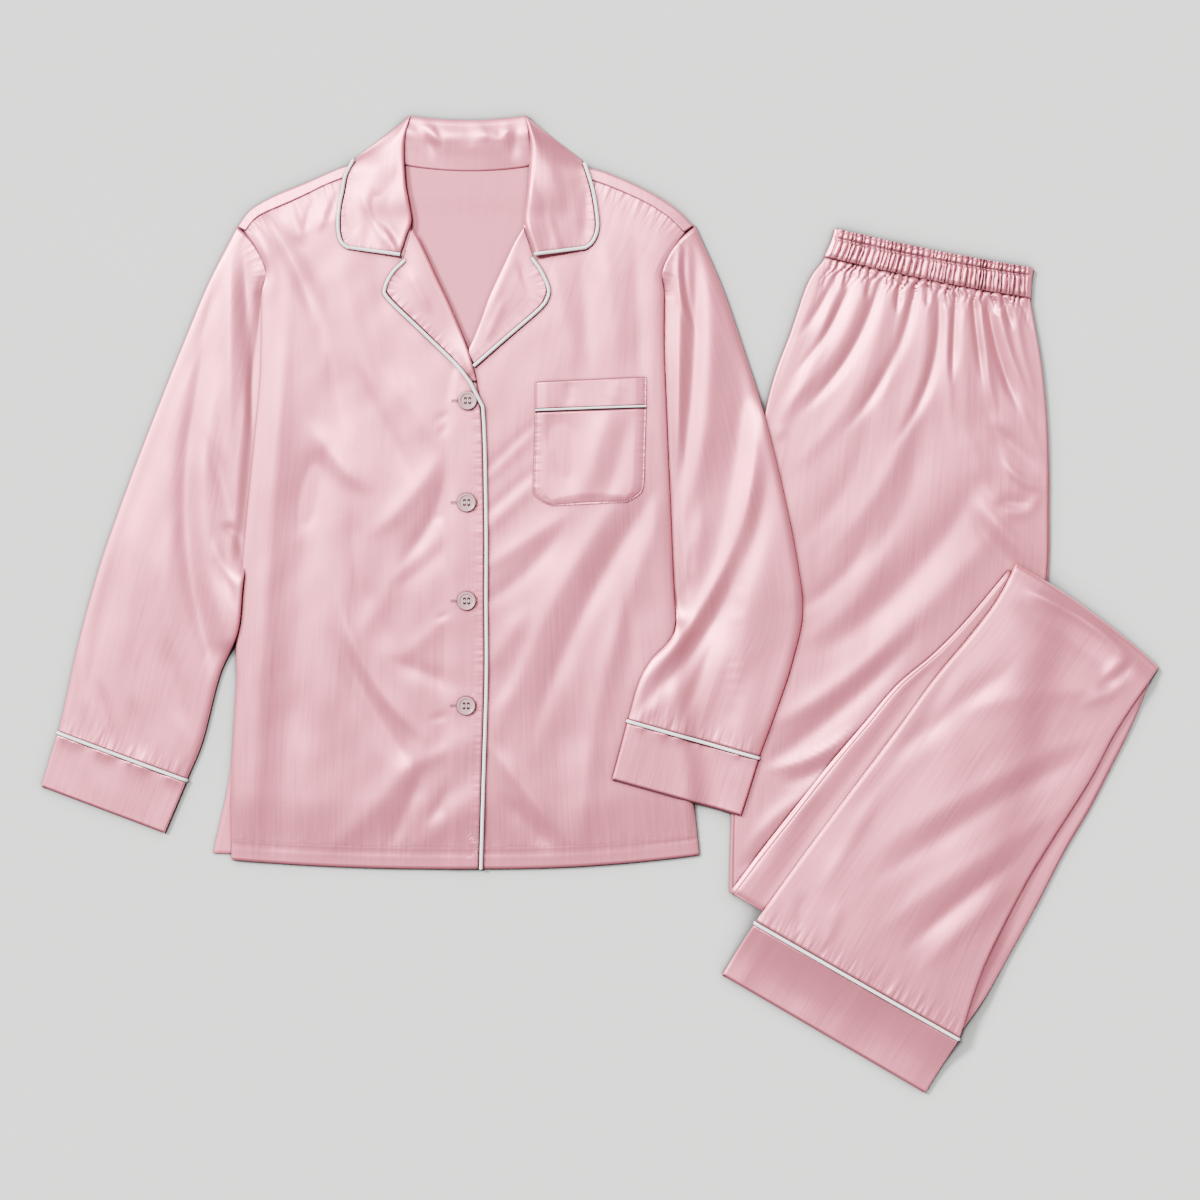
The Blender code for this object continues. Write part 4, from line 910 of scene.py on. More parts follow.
class GridMesh:
    """Grids of points turned into one mesh, with UVs in metres and the seam attribute."""

    WELD = 0.01 * MM

    def __init__(self) -> None:
        """Start with no grid."""
        self.points: list[Array] = []
        self.seams: list[Array] = []
        self.faces: list[Array] = []
        self.uvs: list[Array] = []
        self.count = 0

    def add(self, points: Array, seam: Array | None = None, closed: bool = False) -> None:
        """Add one grid.

        Args:
            points: Rows of points.
            seam: The seam attribute of each point.
            closed: Whether each row is a ring.
        """
        rows, columns = points.shape[:2]
        ring = np.concatenate([points, points[:, :1]], axis=1) if closed else points
        across = np.linalg.norm(np.diff(ring, axis=1), axis=2).mean(axis=0)
        along = np.linalg.norm(np.diff(ring, axis=0), axis=2).mean(axis=1)
        u = np.concatenate([[0.0], np.cumsum(across)])
        v = np.concatenate([[0.0], np.cumsum(along)])
        spans = columns if closed else columns - 1
        i, j = (part.ravel() for part in np.meshgrid(np.arange(spans), np.arange(rows - 1)))
        corner_i = np.stack([i, i + 1, i + 1, i], axis=1)
        corner_j = np.stack([j, j, j + 1, j + 1], axis=1)
        self.faces.append(self.count + corner_j * columns + corner_i % columns)
        self.uvs.append(np.stack([u[corner_i], v[corner_j]], axis=2).reshape(-1, 2))
        self.points.append(points.reshape(-1, 3))
        self.seams.append(np.zeros((rows * columns, 3)) if seam is None else seam.reshape(-1, 3))
        self.count += rows * columns

    def make(self, name: str, materials: Sequence[Material], upward: bool = False) -> Piece:
        """Make the mesh, its normals outward.

        Args:
            name: The piece's name.
            materials: Its materials, the outer one first.
            upward: Whether it is an open sheet, which faces up.

        Returns:
            The object.
        """
        points, faces = np.concatenate(self.points), np.concatenate(self.faces)
        mesh = bpy.data.meshes.new(name)
        mesh.vertices.add(len(points))
        mesh.vertices.foreach_set("co", points.ravel().astype(np.float32))
        mesh.loops.add(faces.size)
        mesh.loops.foreach_set("vertex_index", faces.ravel().astype(np.int32))
        mesh.polygons.add(len(faces))
        mesh.polygons.foreach_set("loop_start", np.arange(0, faces.size, 4, dtype=np.int32))
        mesh.update(calc_edges=True)
        layer = mesh.uv_layers.new(name="cloth")
        layer.data.foreach_set("uv", np.concatenate(self.uvs).ravel().astype(np.float32))
        seam = mesh.attributes.new("seam", "FLOAT_VECTOR", "POINT")
        seam.data.foreach_set("vector", np.concatenate(self.seams).ravel().astype(np.float32))
        for material in materials:
            mesh.materials.append(material)
        shape = bmesh.new()
        shape.from_mesh(mesh)
        bmesh.ops.remove_doubles(shape, verts=shape.verts[:], dist=self.WELD)
        bmesh.ops.recalc_face_normals(shape, faces=shape.faces[:])
        if upward and sum(face.normal.z * face.calc_area() for face in shape.faces) < 0.0:
            bmesh.ops.reverse_faces(shape, faces=shape.faces[:])
        shape.to_mesh(mesh)
        shape.free()
        mesh.shade_smooth()
        return put(name, mesh)


def thicken(obj: Piece, wall: float = WALL, offset: float = -1.0, inner_slot: int = 0) -> None:
    """Give a skin of cloth its thickness, inward at offset -1 and to both sides at 0."""
    thick = obj.modifiers.new("cloth", "SOLIDIFY")
    thick.thickness = wall
    thick.offset = offset
    thick.material_offset = inner_slot


def laid_sheet(name: str, points: Array, materials: Sequence[Material], wall: float = WALL,
               seam: Array | None = None) -> Piece:
    """One open sheet of cloth, laid on the stack.

    Args:
        name: The piece's name.
        points: Rows of points of its upper side.
        materials: Its material, or that of its upper and of its lower side.
        wall: Its thickness.
        seam: The seam attribute of each point.

    Returns:
        The piece.
    """
    grid = GridMesh()
    grid.add(points, seam)
    obj = grid.make(name, materials, upward=True)
    thicken(obj, wall, inner_slot=len(materials) - 1)
    STACK.add(points)
    return obj


def grid_area(points: Array) -> float:
    """Area of a grid of points."""
    a = points[1:, 1:] - points[:-1, :-1]
    b = points[1:, :-1] - points[:-1, 1:]
    return float(np.linalg.norm(np.cross(a, b), axis=2).sum() / 2.0)


class Ledger:
    """Enters each piece: hides what it replaces, puts it on the set's body and counts its triangles."""

    LEAST_CUT = 0.31

    def __init__(self) -> None:
        """Start the count of triangles."""
        self.triangles = 0

    def enter(self, obj: Piece, nodes: Sequence[str] = ()) -> Piece:
        """Let a piece ride on the set's body.

        Args:
            obj: The piece.
            nodes: The CAD nodes that it stands for.

        Returns:
            The piece.
        """
        if nodes:
            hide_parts(*nodes)
        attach(obj, "root")
        shown = obj.evaluated_get(bpy.context.evaluated_depsgraph_get())
        mesh = shown.to_mesh()
        mesh.calc_loop_triangles()
        count = len(mesh.loop_triangles)
        shown.to_mesh_clear()
        self.triangles += count
        LOG.info("%s: %d triangles, %d in all", obj.name, count, self.triangles)
        return obj

    def cloth(self, obj: Piece, node: str, flat: Pair, held: str,
              rests_on: Sequence[str] = (), area: float | None = None) -> None:
        """Enter a piece of cloth.

        Args:
            obj: The piece.
            node: The CAD node that it stands for.
            flat: Its flat width and length; not used.
            held: How it is held; not used.
            rests_on: The pieces that it lies on; not used.
            area: Its area; not used.
        """
        self.enter(obj, [node])


LEDGER = Ledger()


@dataclass
class Trim:
    """Piping cords."""

    looks: Finishes
    ease: int = 2  # points to each side
    sink: float = 0.2 * MM  # below the highest cloth under it
    rise: float = 0.35  # of its middle, in radii
    crest: float = 0.8  # of its top over that, in radii

    def cord(self, name: str, points: Array, node: str, radius: float = PIPING_RADIUS,
             cyclic: bool = False) -> None:
        """A piping cord.

        Args:
            name: The piece's name.
            points: Points along its middle.
            node: The CAD node that it replaces.
            radius: Its radius.
            cyclic: Whether it is a ring.
        """
        curve = bpy.data.curves.new(name, "CURVE")
        curve.dimensions = "3D"
        curve.bevel_depth = radius
        curve.bevel_resolution = 3
        curve.use_fill_caps = not cyclic
        run = curve.splines.new("POLY")
        run.points.add(len(points) - 1)
        run.points.foreach_set("co", np.column_stack([points, np.ones(len(points))]).ravel())
        run.use_cyclic_u = cyclic
        run.use_smooth = True
        curve.materials.append(self.looks.piping)
        LEDGER.enter(put(name, curve), [node])

    def lay(self, name: str, line: Array, node: str, radius: float = PIPING_RADIUS) -> None:
        """A piping cord that lies on the stack.

        Args:
            name: The piece's name.
            line: Points along it, seen from above.
            node: The CAD node that it replaces.
            radius: Its radius.
        """
        under = STACK.top(line[:, 0], line[:, 1])
        height = np.maximum(moving_mean(under, self.ease), under - self.sink) + self.rise * radius
        points = np.column_stack([line, height])
        self.cord(name, points, node, radius)
        crest = points + (0.0, 0.0, self.crest * radius)
        aside = (0.4 * MM, 0.4 * MM, 0.0)
        STACK.add(np.array([crest, crest + aside]))


@dataclass
class Back:
    """The shirt's back panel and its strips over the shoulders.

    It lies flat in its middle and rises a little towards its edges and below the collar's stand.
    """

    looks: Finishes
    step: float = 5.0 * MM
    width: float = 450 * MM
    yoke: float = 80 * MM  # beyond the sections
    wall: float = 0.9 * MM
    base: float = 1.2 * MM  # height of its upper side
    unevenness: float = 0.12 * MM
    deepest: float = 0.3 * MM
    neck_x: float = -133 * MM  # the part that the stand lifts: its middle, half its width and its end
    neck_half: float = 78 * MM
    neck_ease: float = 40 * MM
    neck_y: float = 385 * MM
    neck_rise: float = 25 * MM
    neck_lift: float = 1.6 * MM
    flat_radius: float = 60 * MM
    edge_lift: float = 0.4 * MM
    edge_reach: float = 380 * MM
    strip_points: int = 60
    strip_wall: float = 0.6 * MM
    strip_base: float = 0.5 * MM  # of its outer edge
    strip_least: float = 3.2 * MM
    strip_over: float = 0.35 * MM  # the front, at its inner edge
    overlap: float = 3.2 * MM  # past the seam
    roll: float = 1.2 * MM  # radius of its outer edge, across
    roll_turn: tuple[int, int, int] = (-80, 91, 17)

    def height(self, x: Array, y: Array) -> Array:
        """Height of the back's underside at each place."""
        at_neck = 1.0 - smoothstep((np.abs(x - self.neck_x) - self.neck_half) / self.neck_ease)
        outward = np.hypot(x - self.neck_x, y) - self.flat_radius
        edges = self.edge_lift * smoothstep(outward / self.edge_reach)
        return edges + self.neck_lift * at_neck * smoothstep((y - self.neck_y) / self.neck_rise)

    def panel(self) -> None:
        """The back panel; what shows of it inside the neck and at the slits is its reverse."""
        plan = BackPlan(BACK)
        u = stations(self.width, self.step)
        v = stations(plan.length + self.yoke, self.step, [16 * MM])
        places = plan.at(u, v)
        x, y = places[..., 0], places[..., 1]
        height = self.height(x, y) + self.base
        height += np.maximum(Undulation(3, self.unevenness).at(x, y), -self.deepest)
        points = np.dstack([places, height])
        obj = laid_sheet("shirt_body_back", points, [self.looks.reverse, self.looks.satin], self.wall)
        LEDGER.cloth(obj, "shirt_back", (0.484, 0.703), "laid", area=0.295)

    def strip(self, side: Side) -> Array:
        """Points of the strip over one shoulder, from its outer edge to the forward seam."""
        at = np.linspace(0.0, 1.0, self.strip_points)
        outer = spline(np.array(SHOULDER_EDGES[side.value]) * MM, at)
        inner = spline(np.array(SHOULDER_SEAMS[side.value]) * MM, at)
        way = unit(inner - outer)
        inner = inner + way * self.overlap
        low = self.height(outer[:, 0], outer[:, 1]) + self.strip_base
        high = np.maximum(moving_mean(STACK.top(inner[:, 0], inner[:, 1], 3), 4), self.strip_least)
        rise = high - self.strip_base - low
        columns = []
        for turn in np.radians(np.arange(*self.roll_turn)):
            out = outer + way * ((1.0 - math.cos(turn)) * 2 * self.roll - self.roll)
            columns.append(np.column_stack([out, low + rise * (0.5 + 0.5 * math.sin(turn))]))
        start = columns[-1]
        for part in np.linspace(0.0, 1.0, 6)[1:]:
            z = start[:, 2] + (high + self.strip_over - start[:, 2]) * part
            columns.append(np.column_stack([start[:, :2] + (inner - start[:, :2]) * part, z]))
        return np.array(columns)

    def shoulders(self) -> None:
        """The strips over both shoulders, as one piece."""
        grid = GridMesh()
        for side in Side:
            points = self.strip(side)
            grid.add(points)
            STACK.add(points)
        obj = grid.make("shirt_body_back_shoulders", [self.looks.satin], upward=True)
        thicken(obj, self.strip_wall)
        LEDGER.enter(obj)


@dataclass
class Fronts:
    """Both fronts: the wearer's right one laps over the left one."""

    looks: Finishes
    back: Back
    step: float = 2.4 * MM
    side_line: float = 1.6 * MM  # close stations along the side seam
    crown: float = 4.6 * MM  # how high a front stands over the back
    side_round: float = 9 * MM
    side_share: float = 0.5  # at the side seam
    hem_share: float = 0.25
    hem_ease: float = 70 * MM
    shoulder_drop: float = 0.45
    shoulder_ease: float = 40 * MM
    sleeve_y: float = -90 * MM  # from here up the sleeve lies beside the front
    sleeve_ease: float = 60 * MM
    overhang: float = 3.4 * MM  # over the sleeve's edge
    overhang_ease: float = 12 * MM
    overhang_top: float = 312 * MM
    overhang_top_ease: float = 26 * MM
    fold_margin: float = 18 * MM
    fold_share: float = 0.35  # share of the folds at the hem
    fold_ease: float = 35 * MM
    fold_depth: float = 0.62  # how deep a fold goes, as a share of the front's height
    over_back: float = 1.5 * MM
    blend: float = 0.5 * MM
    hem_groove: float = 0.5 * MM
    hem_groove_width: float = 1.3 * MM
    area: float = 0.17

    def build(self, side: Side) -> None:
        """One front, its side seam at the left end for the right one and at the right end for the left."""
        right = side is Side.RIGHT
        plan = Plan(FRONTS[side], TRIM_INSET if right else 0.0)
        lie = Lie(plan, SEAM_GAP)
        side_line = self.side_line if right else plan.mean_width - self.side_line
        u = stations(plan.mean_width, self.step, [side_line])
        v = stations(plan.length, self.step, [HEM_LINE])
        places = plan.at(u, v)
        x, y = places[..., 0], places[..., 1]
        from_side = (u if right else 1.0 - u)[None] * plan.width(v)[:, None]
        from_hem = np.linalg.norm(places - places[:1], axis=2)
        from_shoulder = np.linalg.norm(places - places[-1:], axis=2)
        beside = smoothstep((y - self.sleeve_y) / self.sleeve_ease)
        kept = self.side_share * beside
        stand = kept + (1.0 - kept) * rounded(from_side, self.side_round)
        stand *= self.hem_share + (1.0 - self.hem_share) * smoothstep(from_hem / self.hem_ease)
        at_shoulder = 1.0 - smoothstep(from_shoulder / self.shoulder_ease)
        stand *= self.crown * (1.0 - self.shoulder_drop * at_shoulder)
        over = self.overhang * beside * (1.0 - smoothstep(from_side / self.overhang_ease))
        over *= 1.0 - smoothstep((y - self.overhang_top) / self.overhang_top_ease)
        outward = -1.0 if right else 1.0
        inner = smoothstep(from_side / self.fold_margin)
        folds = CREASE_SHAPE.height(x, y, FRONT_CREASES) + Undulation(12 - side.value).at(x, y)
        folds *= inner * (self.fold_share + (1.0 - self.fold_share) * smoothstep(from_hem / self.fold_ease))
        folds = np.maximum(folds, -self.fold_depth * stand)
        on_back = self.over_back + self.back.height(x, y) + stand + folds
        seam, puckers = seam_attribute(x, y, self.seams(side))
        height = soft_max(lie.at(u, v), on_back, self.blend) + WALL + puckers * inner
        height -= self.hem_groove * bell(from_hem - HEM_LINE, self.hem_groove_width)
        points = np.dstack([x + outward * over, y, height])
        name = "front_" + side.word
        obj = laid_sheet("shirt_" + name, points, [self.looks.satin], seam=seam)
        area = min(grid_area(points), self.area)
        LEDGER.cloth(obj, name, (0.252, 0.703), "laid", ["shirt_body_back"], area)

    def seams(self, side: Side) -> list[SeamLine]:
        """The seams that pucker a front."""
        plan = Plan(FRONTS[side])
        shoulder = route(SHOULDER_SEAMS[side.value], 8 * MM)
        hem = plan.station(HEM_LINE / plan.length, 24)
        seams = [SeamLine(shoulder, 0.8, 16 * MM, 21 + side.value, 12 * MM, 0.22 * MM),
                 SeamLine(hem, 0.5, 8 * MM, 25 + side.value, 9 * MM, 0.3 * MM)]
        if side is Side.RIGHT:
            edge = plan.edge(1.0, 12 * MM, 0.0, LAPEL_START)
            seams.append(SeamLine(edge, 0.5, 9 * MM, 31, 14 * MM, 0.14 * MM))
            for x, y in BUTTONS:
                hole = np.array([(x - 14, y), (x + 2, y)]) * MM
                seams.append(SeamLine(hole, 0.45, 9 * MM, int(abs(y)), 5 * MM, 0.2 * MM))
        return seams


@dataclass
class TurnedPiece:
    """A lapel or collar leaf: rolled along its left edge, flat towards its right edge."""

    name: str
    node: str
    plan: Plan
    roll: float  # height of its roll
    bend: float  # radius of its rolled edge
    creases: Sequence[Crease]
    seam: SeamLine  # the seam along its outer edges
    seed: int
    start: float = 0.0  # hidden share of its near end
    fold_end: float | None = None  # folded share of its far end

    STEP = 1.6 * MM
    GAP = 0.5 * MM
    FINE = 2.0 * MM
    FLAT = 0.85
    FLAT_FROM = 55 * MM
    MARGIN = 8 * MM
    UNEVENNESS = 0.14 * MM
    DEEPEST = 0.7

    def make(self, satin: Material) -> None:
        """Make the piece and lay it on the fronts."""
        plan, shown = self.plan, 1.0 - self.start
        lie = Lie(plan, self.GAP, rounds=60)
        width = plan.mean_width
        u = stations(width, self.STEP, [self.FINE], 0.6 * MM, self.FINE)
        v = self.start + shown * stations(plan.length * shown, self.STEP)
        places = plan.at(u, v)
        x, y = places[..., 0], places[..., 1]
        distance = u[None] * plan.width(v)[:, None]
        lift = self.roll * rounded(distance, self.bend)
        lift = lift * (1.0 - self.FLAT * smoothstep(distance / self.FLAT_FROM))
        if self.fold_end is not None:
            lift *= rounded(1.0 - v, self.fold_end)[:, None]
        seam, puckers = seam_attribute(x, y, [self.seam])
        folds = CREASE_SHAPE.height(x, y, self.creases) + Undulation(self.seed, self.UNEVENNESS).at(x, y)
        folds *= smoothstep(distance / self.MARGIN)
        height = lie.at(u, v) + lift + np.maximum(folds + puckers, -self.DEEPEST * lift) + WALL
        points = np.dstack([places, height])
        obj = laid_sheet(self.name, points, [satin], seam=seam)
        fronts = ["shirt_front_left", "shirt_front_right"]
        LEDGER.cloth(obj, self.node, (width, plan.length), "folded", fronts, grid_area(points))


@dataclass
class Lapels:
    """The lapels, with the piping along their edges and, on the right, down the front edge."""

    looks: Finishes
    roll: float = 1.4 * MM
    bend: float = 3 * MM
    hidden_piping: float = 5 * MM  # what goes on under the collar leaf

    def build(self, side: Side) -> None:
        """One lapel and its piping."""
        rim = Plan(LAPELS[side]).edge(1.0, 4 * MM)[::-1]
        seam = SeamLine(rim, 0.6, 8 * MM, 42 - side.value, 11 * MM, 0.14 * MM)
        plan = Plan(LAPELS[side], TRIM_INSET)
        TurnedPiece("lapel_facing_" + side.word, "lapel_" + side.word, plan, self.roll, self.bend,
                    LAPEL_CREASES, seam, 43).make(self.looks.satin)
        line = np.concatenate([[rim[0] + unit(rim[0] - rim[1]) * self.hidden_piping], rim])
        if side is Side.RIGHT:
            line = np.concatenate([line, Plan(FRONT_RIGHT).edge(1.0, 5 * MM, 0.0, LAPEL_START)[::-1]])
        Trim(self.looks).lay("edge_piping_" + side.word, line, "piping_front_" + side.word)


@dataclass
class Collar:
    """The collar: its stand, rolled over into the fall behind, and its two leaves."""

    looks: Finishes
    step: float = 1.6 * MM
    width: float = 118 * MM
    wall: float = 0.8 * MM
    stand_top: float = 0.94  # share of the stand below its roll
    stand_rows: int = 26
    stand_heights: tuple[float, ...] = (3.2, 4.5, 5.9, 6.9, 5.1)
    unevenness: float = 0.2 * MM
    roll_turn: tuple[int, int, int] = (66, -91, -13)
    roll_out: float = 2.4 * MM
    roll_middle: float = 2.75 * MM
    roll_radius: float = 2.35 * MM
    fall_from: float = 0.1
    fall_rows: int = 12
    fall_height: float = 0.4 * MM
    leaf_start: float = 0.03  # under its lower piping
    leaf_end: float = 0.9
    leaf_bend: float = 5 * MM
    leaf_fold: float = 0.16
    leaf_rolls: Pair = (2.2 * MM, 5.4 * MM)

    def back(self) -> None:
        """The stand and the fall, as one piece."""
        stand, fall = Plan(COLLAR_STAND), Plan(COLLAR_FALL)
        u = stations(self.width, self.step)
        along = np.linspace(0.0, self.stand_top, self.stand_rows)
        heights = spline(np.array(self.stand_heights)[:, None], along / self.stand_top)[:, 0] * MM
        places = stand.at(u, along)
        x, y = places[..., 0], places[..., 1]
        folds = Undulation(5, self.unevenness).at(x, y) + CREASE_SHAPE.height(x, y, STAND_CREASES)
        ease = np.array([math.sin(math.pi * part) for part in along])
        rows = list(np.dstack([places, heights[:, None] + folds * ease[:, None]]))
        top = stand.at(u, np.array([1.0]))[0]
        for turn in np.radians(np.arange(*self.roll_turn)):
            height = np.full(len(u), self.roll_middle + self.roll_radius * math.sin(turn))
            rows.append(np.column_stack([top + (0.0, self.roll_out * math.cos(turn)), height]))
        for place in fall.at(u, np.linspace(self.fall_from, 1.0, self.fall_rows)):
            rows.append(np.column_stack([place, np.full(len(u), self.fall_height)]))
        points = np.array(rows)
        grid = GridMesh()
        grid.add(points)
        obj = grid.make("collar_stand", [self.looks.satin])
        thicken(obj, self.wall, 0.0)
        STACK.add(points)
        LEDGER.cloth(obj, "collar_back", (0.118, 0.115), "folded", ["shirt_body_back"], grid_area(points))

    def leaf(self, side: Side) -> None:
        """One leaf, with the piping along its outer and lower edges."""
        outline = Plan(LEAVES[side])
        outer = outline.edge(1.0, 4 * MM, self.leaf_start, self.leaf_end)[::-1]
        lower = outline.station(self.leaf_start, 16, 1.0, 0.0)
        rim = np.concatenate([outer, lower[1:]])
        seam = SeamLine(rim, 0.45, 7 * MM, 52 - side.value, 12 * MM, 0.12 * MM)
        TurnedPiece("collar_" + side.word, "collar_leaf_" + side.word, Plan(LEAVES[side], TRIM_INSET),
                    self.leaf_rolls[side.value], self.leaf_bend, LEAF_CREASES, seam, 53, self.leaf_start,
                    self.leaf_fold).make(self.looks.satin)
        Trim(self.looks).lay("collar_piping_" + side.word, rim, "piping_leaf_" + side.word)


@dataclass
class Pocket:
    """The breast pocket, its band, and the piping between them."""

    looks: Finishes
    step: float = 1.6 * MM
    edge_line: float = 2 * MM
    wall: float = 0.5 * MM
    swell: float = 1.1 * MM
    swell_ease: float = 12 * MM
    fold_margin: float = 10 * MM
    stitch_line: float = 1.6 * MM
    stitch_depth: float = 0.3 * MM
    stitch_width: float = 0.9 * MM
    unevenness: float = 0.1 * MM
    deepest: float = 0.25 * MM
    piping_radius: float = 1.1 * MM
    piping_rise: float = 1.8  # millimetres from the pocket's edge to the piping
    piping_middle: Pair = (-9.5, 196.3)

    def build(self) -> None:
        """The pocket first, then its band, then the piping."""
        self.cloth("pocket", POCKET)
        self.cloth("pocket_band", POCKET_BAND)
        top = POCKET[-1]
        line = route(((top.left_x, top.left_y + self.piping_rise), self.piping_middle,
                      (top.right_x, top.right_y + self.piping_rise)), 4 * MM)
        Trim(self.looks).lay("pocket_piping", line, "piping_pocket", self.piping_radius)

    def cloth(self, node: str, sections: Sequence[Section]) -> None:
        """The pocket or its band.

        Args:
            node: The CAD node that it replaces.
            sections: Its outline.
        """
        plan = Plan(sections)
        lie = Lie(plan, SEAM_GAP, rounds=40)
        u = stations(plan.mean_width, self.step, [self.edge_line, plan.mean_width - self.edge_line])
        v = stations(plan.length, self.step, [self.edge_line])
        places = plan.at(u, v)
        x, y = places[..., 0], places[..., 1]
        away = np.minimum(u, 1.0 - u)[None] * plan.width(v)[:, None]
        if sections is POCKET:
            away = np.minimum(away, np.linalg.norm(places - places[:1], axis=2))
        stitch = self.stitch_depth * bell(away - self.stitch_line, self.stitch_width)
        rim = np.concatenate([Plan(POCKET).edge(0.0, 6 * MM)[::-1], plan.edge(1.0, 6 * MM)])
        seam, puckers = seam_attribute(x, y, [SeamLine(rim, 0.4, 6 * MM, 61, 8 * MM, 0.12 * MM)])
        folds = CREASE_SHAPE.height(x, y, POCKET_CREASES) + Undulation(62, self.unevenness).at(x, y)
        swell = self.swell * smoothstep(away / self.swell_ease) + folds * smoothstep(away / self.fold_margin)
        height = lie.at(u, v) + WALL + np.maximum(swell - stitch + puckers, -self.deepest)
        obj = laid_sheet("breast_" + node, np.dstack([places, height]), [self.looks.satin], self.wall, seam)
        LEDGER.cloth(obj, node, (plan.mean_width, plan.length), "laid", ["shirt_front_left"])


@dataclass
class Shirt:
    """The shirt, built from its back up."""

    looks: Finishes

    def build(self) -> None:
        """Build all its pieces, each one on what lies below it."""
        back = Back(self.looks)
        fronts, lapels, collar = Fronts(self.looks, back), Lapels(self.looks), Collar(self.looks)
        collar.back()
        back.panel()
        for side in (Side.LEFT, Side.RIGHT):
            fronts.build(side)
            lapels.build(side)
        back.shoulders()
        for side in (Side.LEFT, Side.RIGHT):
            collar.leaf(side)
        Pocket(self.looks).build()


@dataclass
class Stitches:
    """Short threads along lines on the cloth, gathered into one piece."""

    length: float = 2.2 * MM
    pitch: float = 3.0 * MM  # distance from one to the next
    radius: float = 0.2 * MM
    first: float = 0.4  # in pitches
    sunk: float = 0.1 * MM
    taper: float = 0.35 * MM  # length of its tapered ends
    tall: float = 1.3  # beside its width
    ends: list[Array] = field(default_factory=list)  # both ends of each stitch, seen from above

    def along(self, line: Array) -> None:
        """Add stitches along a line in metres."""
        run = distances(line)
        starts = np.arange(self.first * self.pitch, run[-1] - self.length, self.pitch)
        self.ends.append(np.stack([
            np.stack([np.interp(starts + part, run, line[:, axis]) for axis in (0, 1)], axis=1)
            for part in (0.0, self.length)], axis=1))

    def single(self, start: Array, end: Array) -> None:
        """Add one stitch from start to end."""
        self.ends.append(np.array([[start, end]]))

    def make(self, name: str, material: Material) -> None:
        """Make all the stitches as one piece.

        Args:
            name: The piece's name.
            material: The thread's material.
        """
        ends = np.concatenate(self.ends)
        height = STACK.top(ends[..., 0], ends[..., 1], 0)
        a, b = (np.concatenate([ends[:, k], height[:, k:k + 1]], axis=1) for k in (0, 1))
        way = unit(b - a)
        side = unit(np.stack([-way[:, 1], way[:, 0], np.zeros(len(way))], axis=1))
        up = np.cross(way, side)
        points = [a - up * self.sunk]
        for centre in (a + way * self.taper, b - way * self.taper):
            points += [centre + side * self.radius, centre + up * self.radius * self.tall,
                       centre - side * self.radius, centre - up * self.radius]
        points = np.stack([*points, b - up * self.sunk], axis=1)
        around = [(k, (k + 1) % 4) for k in range(4)]
        faces = [(0, n + 1, k + 1) for k, n in around]
        faces += [(k + 1, n + 1, n + 5, k + 5) for k, n in around]
        faces += [(9, k + 5, n + 5) for k, n in around]
        all_faces = [[10 * k + corner for corner in face] for k in range(len(points)) for face in faces]
        mesh = bpy.data.meshes.new(name)
        mesh.from_pydata(points.reshape(-1, 3).tolist(), [], all_faces)
        mesh.materials.append(material)
        mesh.shade_smooth()
        LEDGER.enter(put(name, mesh))


